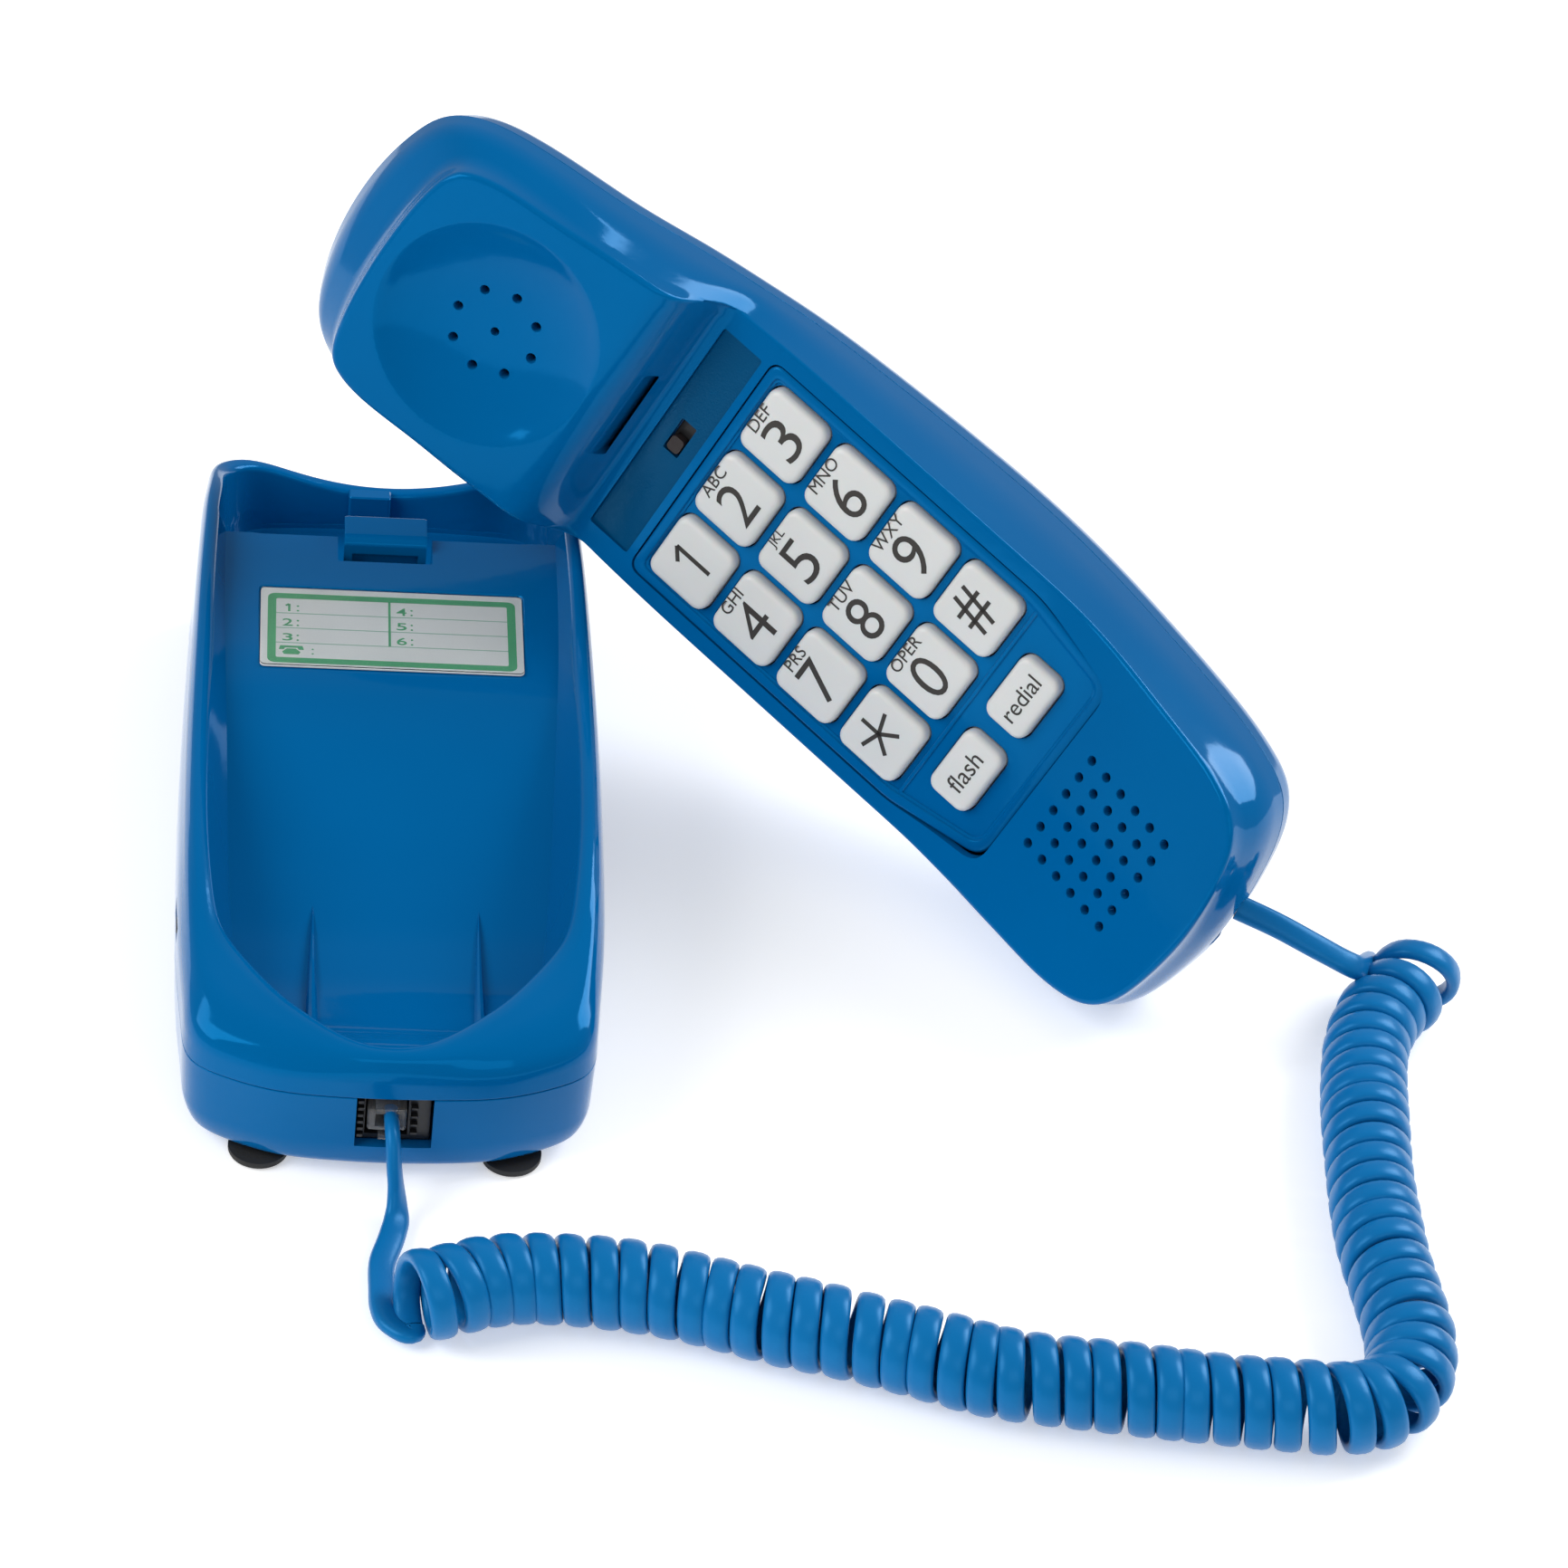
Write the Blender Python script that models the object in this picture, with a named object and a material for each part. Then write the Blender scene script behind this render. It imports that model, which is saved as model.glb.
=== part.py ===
# Corded landline phone: a base with a cradle, a handset with its keypad, and the curly cord between them.
# The handset stands on its long side, against the right rim of the base.
import math

import bmesh
import bpy
import numpy as np

MM = 0.001  # every size below is in millimetres
GAP = 0.3  # clearance between touching pieces

# Placing. Design frame: X across the base, Y to its rear, Z up, zero at the front centre on the table.
ORIGIN = (68.9, 95.0)  # the phone's centre in the design frame, which becomes the world's zero
HANDSET_PLACE = (89.78, 116.71, 63.7)
HANDSET_TURN = (72.49, 20.124, -38.678)  # degrees, about X, then Y, then Z

# Base
PARTING_Z = 21.0  # where the base's two shells meet
WALL = 2.3
SHELL_BOTTOM = 1.9
FOOT_RADIUS = 6.0
FEET = {"front_left": (-24.8, 8.5), "front_right": (24.8, 8.5), "rear_left": (-24.8, 177), "rear_right": (24.8, 177)}
WELL = ((-33.2, 157.2, 24.5), (33.2, 181.2, 70.0))  # hollow that takes the earpiece
WELL_CORNER = 9.0
LEVER_X = (-9.9, 7.4)
LEVER_PIVOT = (139.0, 34.6)  # y, z
HOOK_NOTCH_Y = (147.4, 163.0)
SPRING_Y = 147.0
CARD = (54.4, 26.65)
CARD_Y = 124.1
JACK_X = (-6.5, 8.5)  # front opening for the handset cord
JACK_Z = (8.5, 20.6)
JACK_DEPTH = 12.2
LINE_JACK_X = (-27.0, -12.0)
PLUG_WIDTH = 7.65  # standard modular plug
PLUG_X = -0.45
RINGER_SLOT_Y = (40.0, 50.0)
RINGER_SLOT_Z = (25.5, 29.5)

# Handset
KEY_PITCH = 18.0
KEY_SIZE = 15.6
KEY_PROUD = 1.8
KEY_TRAVEL = 1.2
KEY_CORNER = 2.6
FUNCTION_KEY = (10.7, 16.5)
FUNCTION_U = 45.5
FUNCTION_V = (-11.2, 10.0)
# Corners (u, v) of the keypad, which narrows towards the microphone
WINDOW = np.array([(-38.2, 29.3), (-38.2, -29.3), (36.0, -29.3), (59.4, -24.8), (59.4, 24.8), (36.0, 29.3)])
WINDOW_CORNER = 4.0
DISH_U = -85.5
DISH_RADIUS = 24.2
DISH_DEPTH = 3.7
EAR_TILT = 0.2365  # fall of the ear plane per mm towards the keypad
MIC_TILT = 0.2697
SOUND_HOLE = 0.95  # radius
EAR_RING = 9.17
MIC_PITCH = 4.76
MIC_U = 76.8
MIC_COUNT = 6

# Cord
COIL_RADIUS = 9.25
LEAD_RADIUS = 2.2

SHELL_BLUE = (0.0, 0.122, 0.363)

# Half outline of the base at the parting line, from the front centre round the right side to the rear.
BASE_PARTING = [
    (0, 0.6), (12, 1.0), (22, 2.2), (32.2, 5.8), (38.5, 10.2), (40.9, 20), (42.1, 35), (42.8, 60),
    (42.8, 90), (42.2, 118), (41.5, 142), (41.1, 153), (40.6, 164), (39.8, 174), (37.8, 182.5), (32.5, 186.4),
    (22, 187.0), (11, 187.5), (0, 187.7),
]
# The rim above the same points, which falls and draws back towards the front, with its height.
BASE_RIM = [
    (0, 3.8, 30.6), (9.5, 6.0, 31.0), (18.4, 12, 32.1), (26, 19.4, 33.2), (31.6, 26.5, 34.3), (36, 33, 36.2),
    (38.3, 43, 39.0), (39.8, 62, 42.6), (40.2, 90, 45.6), (39.9, 118, 47.5), (39.4, 142, 48.5),
    (39.0, 153, 48.4), (38.5, 163, 47.6), (37.8, 172, 45.6), (36.2, 180.6, 42.6), (31.2, 184.6, 40.9), (21, 185.3, 38.0),
    (10.5, 185.8, 34.9), (0, 186.0, 33.8),
]
# Where the inner wall meets the cradle's floor.
BASE_CREASE = [
    (0, 8.5), (8.6, 10), (16, 14.8), (22.6, 21.5), (27.2, 28.4), (29.8, 36), (30.9, 45), (32.2, 62),
    (33.4, 90), (34.4, 118), (34.8, 142), (34.8, 156.4), (34.5, 158.4), (33.8, 171), (32.4, 177.6), (27.5, 181.0),
    (19, 182.0), (9.5, 182.6), (0, 182.9),
]
FLOOR_HEIGHT = [
    (8, 23.4), (15.6, 23.4), (23, 18.4), (38, 17.7), (52, 20.2), (66, 25.2), (80, 31.2), (94, 36.9), (106, 40.5),
    (116, 41.8), (130, 42.0), (156.4, 42.0), (158.4, 27.0), (190, 27.0),
]
UNDER_HEIGHT = [
    (8, 21.1), (16.4, 21.1), (23, 16.2), (38, 15.4), (52, 17.9), (66, 22.9), (80, 28.9), (94, 34.6), (106, 38.2),
    (116, 39.5), (130, 39.7), (142, 39.7), (154, 22.0), (190, 22.0),
]

# Half outline of the handset at its parting line, from the ear end to the microphone end.
HANDSET_PARTING = [
    (-128.2, 0), (-127.5, 10), (-125.6, 18.5), (-122.1, 26), (-114.6, 31.3), (-106, 33.5), (-96, 34.3), (-80, 34.5),
    (-66, 34.5), (-58, 34.5), (-52, 34.5), (-42, 34.5), (-20, 34.5), (2, 34.5), (24, 34.5), (46, 34.4), (60, 34.0),
    (76, 33.3), (90, 32.3), (98.8, 29.2), (103.3, 22.6), (105.4, 14.8), (106.6, 7), (107.0, 0),
]
# Edge of the handset's face above the same points.
HANDSET_EDGE = [
    (-112.4, 0), (-112.2, 7.4), (-111.6, 14.8), (-109.8, 23.2), (-105.6, 27.6), (-98.6, 29.3), (-88, 29.8),
    (-76, 30.5), (-65, 31), (-58, 31.3), (-52.6, 31.8), (-43, 32.5), (-20, 33), (2, 33), (24, 33), (46, 32.8),
    (60, 32.3), (76, 31.4), (88, 30.0), (95.8, 26.8), (100.2, 21.2), (102.3, 13.8), (103.3, 6.8), (103.7, 0),
]
PARTING_HEIGHT = [
    (-129, 12), (-110, 10), (-80, 2.2), (-60, -7.4), (-35, -16.2), (0, -21.2), (23, -22.2), (71, -15), (95, -7),
    (107, -3),
]
SHOULDER_HEIGHT = [
    (-130, 21.5), (-112, 21), (-80, 17), (-62, 12.5), (-52, 3.0), (-38, -0.6), (-8, -0.9), (45, -0.5), (60, 1.8),
    (77, 5.8), (93, 9.8), (107, 12.5),
]
NECK = ((-57.6, 14.3), (-53.2, 0.9), (-50.8, 0.0))  # the step from the ear block down to the keypad plane
MIC_START = 47.0

# Cord routes in the design frame
BASE_LEAD = [
    (0.5, 1.3, 14.9), (0.8, -3.0, 14.1), (1.2, -6.4, 10.2), (1.9, -9.6, 5.4), (2.1, -13, 2.9), (0.9, -19, 2.5),
    (-0.9, -26, 2.5), (-0.9, -33, 2.5), (-0.6, -38.2, 2.5), (0.8, -42.0, 2.6), (2.8, -43.1, 2.7), (4.3, -43.0, 2.75),
]
COIL_FRONT = [
    (4.7, -41.9), (10.6, -40.6), (16.5, -38.2), (25.7, -36.2), (46, -37.5), (59.6, -40.7), (73, -45.2), (86.7, -48.9),
    (98.7, -52.7), (114.6, -58.1), (133.4, -60.9), (153.7, -63.3), (170, -64.9), (180.8, -65.3), (186.9, -63.9),
    (188.7, -62.85), (189.35, -62.4),
]
COIL_SIDE = [
    (189.6, -62.23), (190.25, -61.78), (192.0, -60.3), (195.2, -55.2), (196.0, -47), (195.4, -36), (194.1, -21),
    (194.2, -5), (195.4, 13), (196.8, 27), (199.4, 41), (204.0, 51.6), (208.8, 59.6), (211.2, 63.6),
]
HANDSET_LEAD = [(173.6, 62.1, 25.8), (180, 59.5, 23.2), (187, 56.5, 20.4), (195.0, 53.1, 18.0)]


def curve_at(points, x):
    xs, ys = zip(*points)
    return np.interp(x, xs, ys)


def smooth(points, steps):
    """A Catmull-Rom curve through the points, with this many steps on each stretch."""
    p = np.asarray(points, float)
    ends = np.vstack([2 * p[0] - p[1], p, 2 * p[-1] - p[-2]])
    t = np.linspace(0, 1, steps, endpoint=False)[:, None]
    rows = []
    for a, b, c, d in zip(ends, ends[1:], ends[2:], ends[3:]):
        rows.append(0.5 * (2 * b + (c - a) * t + (2 * a - 5 * b + 4 * c - d) * t**2 + (3 * b - a - 3 * c + d) * t**3))
    return np.vstack(rows + [p[-1:]])


def halved(points):
    """The points with one more in the middle of each stretch."""
    p = np.asarray(points, float)
    rows = np.empty((2 * len(p) - 1, p.shape[1]))
    rows[::2] = p
    rows[1::2] = (p[:-1] + p[1:]) / 2
    return rows


def shrink(half, side, end, centre):
    """The half outline (length, width), drawn in by side on its width and by end on its length."""
    length = half[:, 1] - centre
    width = half[:, 0] * (1 - side / half[:, 0].max())
    return np.column_stack([width, centre + length * (1 - end / np.abs(length).max()), *half[:, 2:].T])


def ring(half, height):
    """A closed symmetric loop from a half outline (x, y): right half forwards, then the left half back."""
    half = np.column_stack([half[:, :2], np.broadcast_to(height, len(half))])
    left = half[-2:0:-1] * (-1, 1, 1)
    return np.vstack([half, left])


def shell_mesh(rings):
    """Quads between neighbouring rings. Each end is closed by strips that run across the symmetry plane."""
    count = len(rings[0])
    steps = np.arange(count)
    after = (steps + 1) % count
    faces = []
    for k in range(len(rings) - 1):
        low, high = k * count, (k + 1) * count
        faces += [(low + a, low + b, high + b, high + a) for a, b in zip(steps, after)]
    for base in (0, (len(rings) - 1) * count):
        for i in range(count // 2):
            j, k = (count - i) % count, count - i - 1
            strip = dict.fromkeys((i, i + 1, k, j))
            if len(strip) > 2:
                faces.append(tuple(base + s for s in strip))
    return np.vstack(rings), faces


def material(name, colour, roughness, metallic=0.0, transmission=0.0):
    found = bpy.data.materials.get(name)
    if found:
        return found
    made = bpy.data.materials.new(name)
    made.use_nodes = True
    shader = made.node_tree.nodes["Principled BSDF"]
    shader.inputs["Base Color"].default_value = (*colour, 1)
    shader.inputs["Roughness"].default_value = roughness
    shader.inputs["Metallic"].default_value = metallic
    shader.inputs["Transmission Weight"].default_value = transmission
    made.diffuse_color = (*colour, 1)
    return made


def shell_blue():
    return material("glossy_blue", SHELL_BLUE, 0.15)


def key_white():
    return material("key_white", (0.68, 0.7, 0.68), 0.4)


def black():
    return material("black_plastic", (0.012, 0.012, 0.013), 0.35)


def rubber():
    return material("black_rubber", (0.02, 0.02, 0.02), 0.8)


def clear():
    return material("clear_plastic", (0.9, 0.92, 0.93), 0.1, transmission=0.9)


def board_green():
    return material("board_green", (0.02, 0.16, 0.06), 0.45)


def steel():
    return material("steel", (0.55, 0.55, 0.57), 0.3, metallic=1.0)


def paper():
    return material("card_paper", (0.85, 0.87, 0.85), 0.6)


def cord_blue():
    return material("cord_blue", (0.0, 0.115, 0.35), 0.3)


def start():
    for old in list(bpy.data.objects):
        bpy.data.objects.remove(old, do_unlink=True)
    for name in ("corded_phone", "cutters"):
        bpy.context.scene.collection.children.link(bpy.data.collections.new(name))
    base = bpy.data.objects.new("base_frame", None)
    base.location = (-ORIGIN[0] * MM, -ORIGIN[1] * MM, 0)
    handset = bpy.data.objects.new("handset_frame", None)
    handset.parent = base
    handset.location = [c * MM for c in HANDSET_PLACE]
    handset.rotation_euler = [math.radians(a) for a in HANDSET_TURN]
    for empty in (base, handset):
        bpy.data.collections["corded_phone"].objects.link(empty)
    return base, handset


def add(name, verts, faces, look, parent, origin=(0, 0, 0)):
    """An object from vertices in millimetres, with its own origin at the given point of its parent's frame."""
    mesh = bpy.data.meshes.new(name)
    verts = (np.asarray(verts, float) - origin) * MM
    mesh.from_pydata(verts.tolist(), [], [tuple(map(int, f)) for f in faces])
    form = bmesh.new()
    form.from_mesh(mesh)
    bmesh.ops.remove_doubles(form, verts=form.verts, dist=1e-6)
    bmesh.ops.recalc_face_normals(form, faces=form.faces)
    form.to_mesh(mesh)
    form.free()
    mesh.shade_smooth()
    mesh.set_sharp_from_angle(angle=math.radians(35))
    obj = bpy.data.objects.new(name, mesh)
    obj.parent = parent
    obj.location = [c * MM for c in origin]
    if look:
        mesh.materials.append(look)
        bpy.data.collections["corded_phone"].objects.link(obj)
    else:
        obj.hide_render = True
        obj.display_type = "WIRE"
        bpy.data.collections["cutters"].objects.link(obj)
    return obj


def rounded(width, depth, corner, steps=3):
    """Points of a rectangle with round corners, centred on zero."""
    turn = np.radians(np.linspace(0, 90, steps + 1))
    points = []
    for quarter, (sx, sy) in enumerate([(1, 1), (-1, 1), (-1, -1), (1, -1)]):
        angle = turn + quarter * math.pi / 2
        points.append(np.column_stack([sx * (width / 2 - corner) + corner * np.cos(angle),
                                       sy * (depth / 2 - corner) + corner * np.sin(angle)]))
    return np.vstack(points)


def stack(layers):
    """A closed body from (outline, height) layers with equal point counts: walls, and a flat face at each end."""
    count = len(layers[0][0])
    verts = np.vstack([np.column_stack([outline, np.full(count, height)]) for outline, height in layers])
    faces = [tuple(range(count)), tuple(range((len(layers) - 1) * count, len(layers) * count))]
    for k in range(len(layers) - 1):
        faces += [(k * count + i, k * count + (i + 1) % count, (k + 1) * count + (i + 1) % count, (k + 1) * count + i)
                  for i in range(count)]
    return verts, faces


def box(name, low, high, look, parent, corner=0.0, origin=(0, 0, 0)):
    low, high = np.array(low, float), np.array(high, float)
    size, centre = high - low, (low + high) / 2
    steps = 3 if corner else 0
    outline = rounded(size[0], size[1], corner, steps) + centre[:2]
    verts, faces = stack([(outline, low[2]), (outline, high[2])])
    return add(name, verts, faces, look, parent, origin)


def disc(name, centre, radius, low, high, look, parent, sides=24, bevel=0.0):
    angle = np.linspace(0, 2 * math.pi, sides, endpoint=False)
    circle = np.column_stack([np.cos(angle), np.sin(angle)])
    layers = [(centre + radius * circle, low), (centre + radius * circle, high - bevel)]
    if bevel:
        layers.append((centre + (radius - bevel) * circle, high))
    return add(name, *stack(layers), look, parent)


def prism(name, outline, low, high, look, parent, origin=(0, 0, 0)):
    """An outline in (y, z) carried along X."""
    verts, faces = stack([(np.array(outline, float), low), (np.array(outline, float), high)])
    return add(name, verts[:, [2, 0, 1]], faces, look, parent, origin)


def cut(obj, *cutters, operation="DIFFERENCE"):
    for cutter in cutters:
        modifier = obj.modifiers.new(operation.lower() + "_" + cutter.name, "BOOLEAN")
        modifier.operation = operation
        modifier.solver = "EXACT"
        modifier.object = cutter


def tube(name, route, radius, look, parent, steps, resolution=2):
    """A round solid along a smooth curve through the route."""
    points = smooth([(*p, radius + 0.3) if len(p) == 2 else p for p in route], steps) * MM
    curve = bpy.data.curves.new(name, "CURVE")
    curve.dimensions = "3D"
    curve.bevel_depth = radius * MM
    curve.bevel_resolution = resolution
    curve.use_fill_caps = True
    spline = curve.splines.new("POLY")
    spline.points.add(len(points) - 1)
    spline.points.foreach_set("co", np.column_stack([points, np.ones(len(points))]).ravel())
    curve.materials.append(look)
    obj = bpy.data.objects.new(name, curve)
    obj.parent = parent
    bpy.data.collections["corded_phone"].objects.link(obj)
    return obj


# ---- base ----

def base_upper_shell(base):
    wall = smooth(BASE_PARTING, 2)
    rim = smooth(BASE_RIM, 2)
    crease = halved(BASE_CREASE)
    centre = 94.0
    low = PARTING_Z + GAP / 2
    belly = wall * 0.95 + rim[:, :2] * 0.05
    brow = wall * 0.5 + rim[:, :2] * 0.5
    lip = shrink(rim, 2.4, 2.4, centre)
    mid = crease * 0.45 + lip[:, :2] * 0.55
    floor = curve_at(FLOOR_HEIGHT, crease[:, 1])
    under = shrink(crease, -0.6, -0.6, centre)
    under_height = curve_at(UNDER_HEIGHT, under[:, 1])
    inside = shrink(wall, WALL, WALL, centre)
    hollow_top = np.maximum(under_height, low + 0.4)
    inner = shrink(wall, WALL + 1.2, WALL + 1.2, centre) * 0.55 + under * 0.45
    verts, faces = shell_mesh([
        ring(under, under_height),
        ring(inner, hollow_top),
        ring(inside, low + 0.2),
        ring(inside, low),
        ring(wall, low),
        ring(belly, low + (rim[:, 2] - low) * 0.55),
        ring(brow, low + (rim[:, 2] - low) * 0.92),
        ring(shrink(rim, 0.8, 0.8, centre), rim[:, 2]),
        ring(lip, rim[:, 2] - 0.4),
        ring(mid, floor * 0.45 + rim[:, 2] * 0.55 - 0.5),
        ring(crease, floor),
    ])
    shell = add("base_upper_shell", verts, faces, shell_blue(), base)
    cut(shell, box("well_cutter", *WELL, None, base, WELL_CORNER))
    notch = (LEVER_X[0] - 1.3, LEVER_X[1] + 1.3)
    cut(shell, box("hook_notch", (notch[0], HOOK_NOTCH_Y[0], 31), (notch[1], HOOK_NOTCH_Y[1], 60), None, base))
    cut(shell, box("lever_bay", (notch[0], 126, 25.8), (notch[1], 166, 38.6), None, base))
    card_half = (CARD[0] / 2 + GAP, CARD[1] / 2 + GAP)
    cut(shell, box("card_recess", (-card_half[0], CARD_Y - card_half[1], 41.1),
                   (card_half[0], CARD_Y + card_half[1], 60), None, base))
    y, z = RINGER_SLOT_Y, RINGER_SLOT_Z
    cut(shell, box("ringer_slot", (-50, y[0], z[0]), (-37, y[1], z[1]), None, base))
    cut(shell, box("ringer_bay", (-39.4, y[0] - 2, 5), (-35.2, y[1] + 2, z[1] + 2), None, base))
    for side, x in (("left", -15.3), ("right", 18.0)):
        rib = prism("cradle_rib_" + side, [(15, 16.4), (58, 20.8), (58, 21.9), (15, 19.8)], x - 0.7, x + 0.7, None, base)
        cut(shell, rib, operation="UNION")
    return shell


def base_lower_shell(base):
    wall = smooth(BASE_PARTING, 2)
    centre = 94.0
    top = PARTING_Z - GAP / 2
    verts, faces = shell_mesh([
        ring(shrink(wall, 5.8, 5.6, centre), SHELL_BOTTOM + WALL),
        ring(shrink(wall, WALL + 0.4, WALL + 0.4, centre), SHELL_BOTTOM + WALL + 3.5),
        ring(shrink(wall, WALL, WALL, centre), top),
        ring(wall, top),
        ring(shrink(wall, 0.4, 0.3, centre), 7.4),
        ring(shrink(wall, 1.8, 1.1, centre), 3.6),
        ring(shrink(wall, 4.4, 3.0, centre), SHELL_BOTTOM),
    ])
    shell = add("base_lower_shell", verts, faces, shell_blue(), base)
    cut(shell, box("front_jack_cutter", (JACK_X[0], -5, JACK_Z[0]), (JACK_X[1], 12, 30), None, base))
    cut(shell, box("line_jack_cutter", (LINE_JACK_X[0], 175, JACK_Z[0]), (LINE_JACK_X[1], 195, 30), None, base))
    return shell


def jack(name, low, high, mouth, look, parent, socket):
    """A jack body with a blind socket. The mouth is the sign of the Y side that the plug goes in by."""
    body = box(name, low, high, look, parent)
    x0, x1, z0, z1, depth = socket
    if mouth < 0:
        hole = box(name + "_socket", (x0, low[1] - 2, z0), (x1, low[1] + depth, z1), None, parent)
    else:
        hole = box(name + "_socket", (x0, high[1] - depth, z0), (x1, high[1] + 2, z1), None, parent)
    cut(body, hole)
    return body


def plug(name, x, mouth_y, z, parent, turn=1):
    """A modular plug with its latch below: width, then the profile (y, z) from the cord end to the nose."""
    side = [(0, 0.6), (0, 6.0), (6.5, 7.1), (11.4, 7.1), (11.4, 1.8), (6.4, 1.6), (6.4, 0.6)]
    outline = [(mouth_y + turn * a, z + b) for a, b in side]
    return prism(name, outline, x - PLUG_WIDTH / 2, x + PLUG_WIDTH / 2, clear(), parent)


def base_insides(base):
    board = box("base_circuit_board", (-30, 62, 12), (30, 154, 13.6), board_green(), base)
    cut(board, disc("screw_clearance", (0, 72), 4.4, 5, 20, None, base, 12))
    floor = SHELL_BOTTOM + WALL + GAP
    disc("ringer_disc", (17, 40), 12.5, floor, floor + 3.3, steel(), base)
    box("hook_switch", (-8, 127.4, 13.9), (-2, 134.6, 29.6), black(), base)
    y, z = RINGER_SLOT_Y, RINGER_SLOT_Z
    box("ringer_switch_body", (-38.6, y[0] - 1.4, z[0] - 3), (-36, y[1] + 1.4, z[1] + 1.4), black(), base)
    knob_y = (y[0] + 1.4, y[0] + 5.4)
    box("ringer_switch_knob", (-42.4, knob_y[0], z[0] + 0.35), (-38.9, knob_y[1], z[1] - 0.35), black(), base,
        origin=(-41, sum(knob_y) / 2, sum(z) / 2))
    jack("base_jack", (JACK_X[0] + GAP, 3.2, JACK_Z[0] + GAP), (JACK_X[1] - GAP, 3.2 + JACK_DEPTH, JACK_Z[1]), -1,
         black(), base, (PLUG_X - 4.2, PLUG_X + 4.2, 10.0, 19.0, 10.6))
    jack("line_jack", (LINE_JACK_X[0] + GAP, 171, JACK_Z[0] + GAP), (LINE_JACK_X[1] - GAP, 185.6, JACK_Z[1]), 1,
         black(), base, (-23.6, -15.4, 10.6, 18.0, 11.0))
    plug("base_plug", PLUG_X, 1.6, 11.0, base)
    for side, place in FEET.items():
        disc("foot_" + side, place, FOOT_RADIUS, 0, SHELL_BOTTOM - GAP, rubber(), base, 20)
    for number, (x, y) in enumerate([(0, 24), (0, 72)], 1):
        screw = disc(f"base_screw_{number}", (x, y), 2.7, floor, floor + 1.9, steel(), base, 12)
        shaft = disc(f"base_screw_shaft_{number}", (x, y), 1.3, floor + 0.9, 13.8, None, base, 8)
        cut(screw, shaft, operation="UNION")


def hook_lever(base):
    y, z = LEVER_PIVOT
    profile = [(128.6, z - 1.5), (152.4, z - 1.5), (154.0, 35.0), (154.0, 41.6), (158.6, 43.6), (159.2, 44.9),
               (158.5, 45.8), (152.2, 45.0), (151.0, 43.9), (151.0, z + 1.5), (128.6, z + 1.5)]
    return prism("hook_lever", profile, *LEVER_X, shell_blue(), base, origin=(0, y, z))


def hook_spring(base):
    turns, low, high, radius = 4.5, 14.5, 32.1, 2.6
    angle = np.linspace(0, 2 * math.pi * turns, int(turns * 10) + 1)
    rise = np.linspace(low, high, len(angle))
    route = np.column_stack([2.5 + radius * np.cos(angle), SPRING_Y + radius * np.sin(angle), rise])
    return tube("hook_spring", route, 0.4, steel(), base, 1, 0)


def index_card(base):
    half = (CARD[0] / 2, CARD[1] / 2)
    box("index_card", (-half[0], CARD_Y - half[1], 41.35), (half[0], CARD_Y + half[1], 41.6), paper(), base, 1.0)
    box("card_cover", (-half[0], CARD_Y - half[1], 41.9), (half[0], CARD_Y + half[1], 42.5), clear(), base, 1.0)


# ---- handset: u runs to the microphone end, v to the 3-6-9 side, w out of the face ----

def face_height(u):
    ear = 21.1 - EAR_TILT * (u - DISH_U)
    table = [(-130, None), *NECK, (MIC_START, 0.0)]
    slope = curve_at(table[1:], u)
    mic = MIC_TILT * (u - MIC_START)
    return np.where(u < NECK[0][0], ear, np.where(u > MIC_START, mic, slope))


def handset_half(points):
    """The half outline (u, v) as (v, u), so that the symmetry plane is v = 0."""
    return smooth(points, 2)[:, ::-1]


def handset_ring(half, height):
    return ring(half, height)[:, [1, 0, 2]]


def window_outline(inset):
    """The keypad's outline, drawn in by inset, with an arc of three steps at each corner."""
    middle = (WINDOW.max(axis=0) + WINDOW.min(axis=0)) / 2
    half = (WINDOW.max(axis=0) - WINDOW.min(axis=0)) / 2
    corners = middle + (WINDOW - middle) * (1 - inset / half)
    back, on = np.roll(corners, 1, axis=0) - corners, np.roll(corners, -1, axis=0) - corners
    first = corners + back / np.linalg.norm(back, axis=1, keepdims=True) * WINDOW_CORNER
    last = corners + on / np.linalg.norm(on, axis=1, keepdims=True) * WINDOW_CORNER
    t = np.linspace(0, 1, 4)[None, :, None]
    arcs = (1 - t) ** 2 * first[:, None] + 2 * t * (1 - t) * corners[:, None] + t**2 * last[:, None]
    return arcs.reshape(-1, 2)


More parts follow.
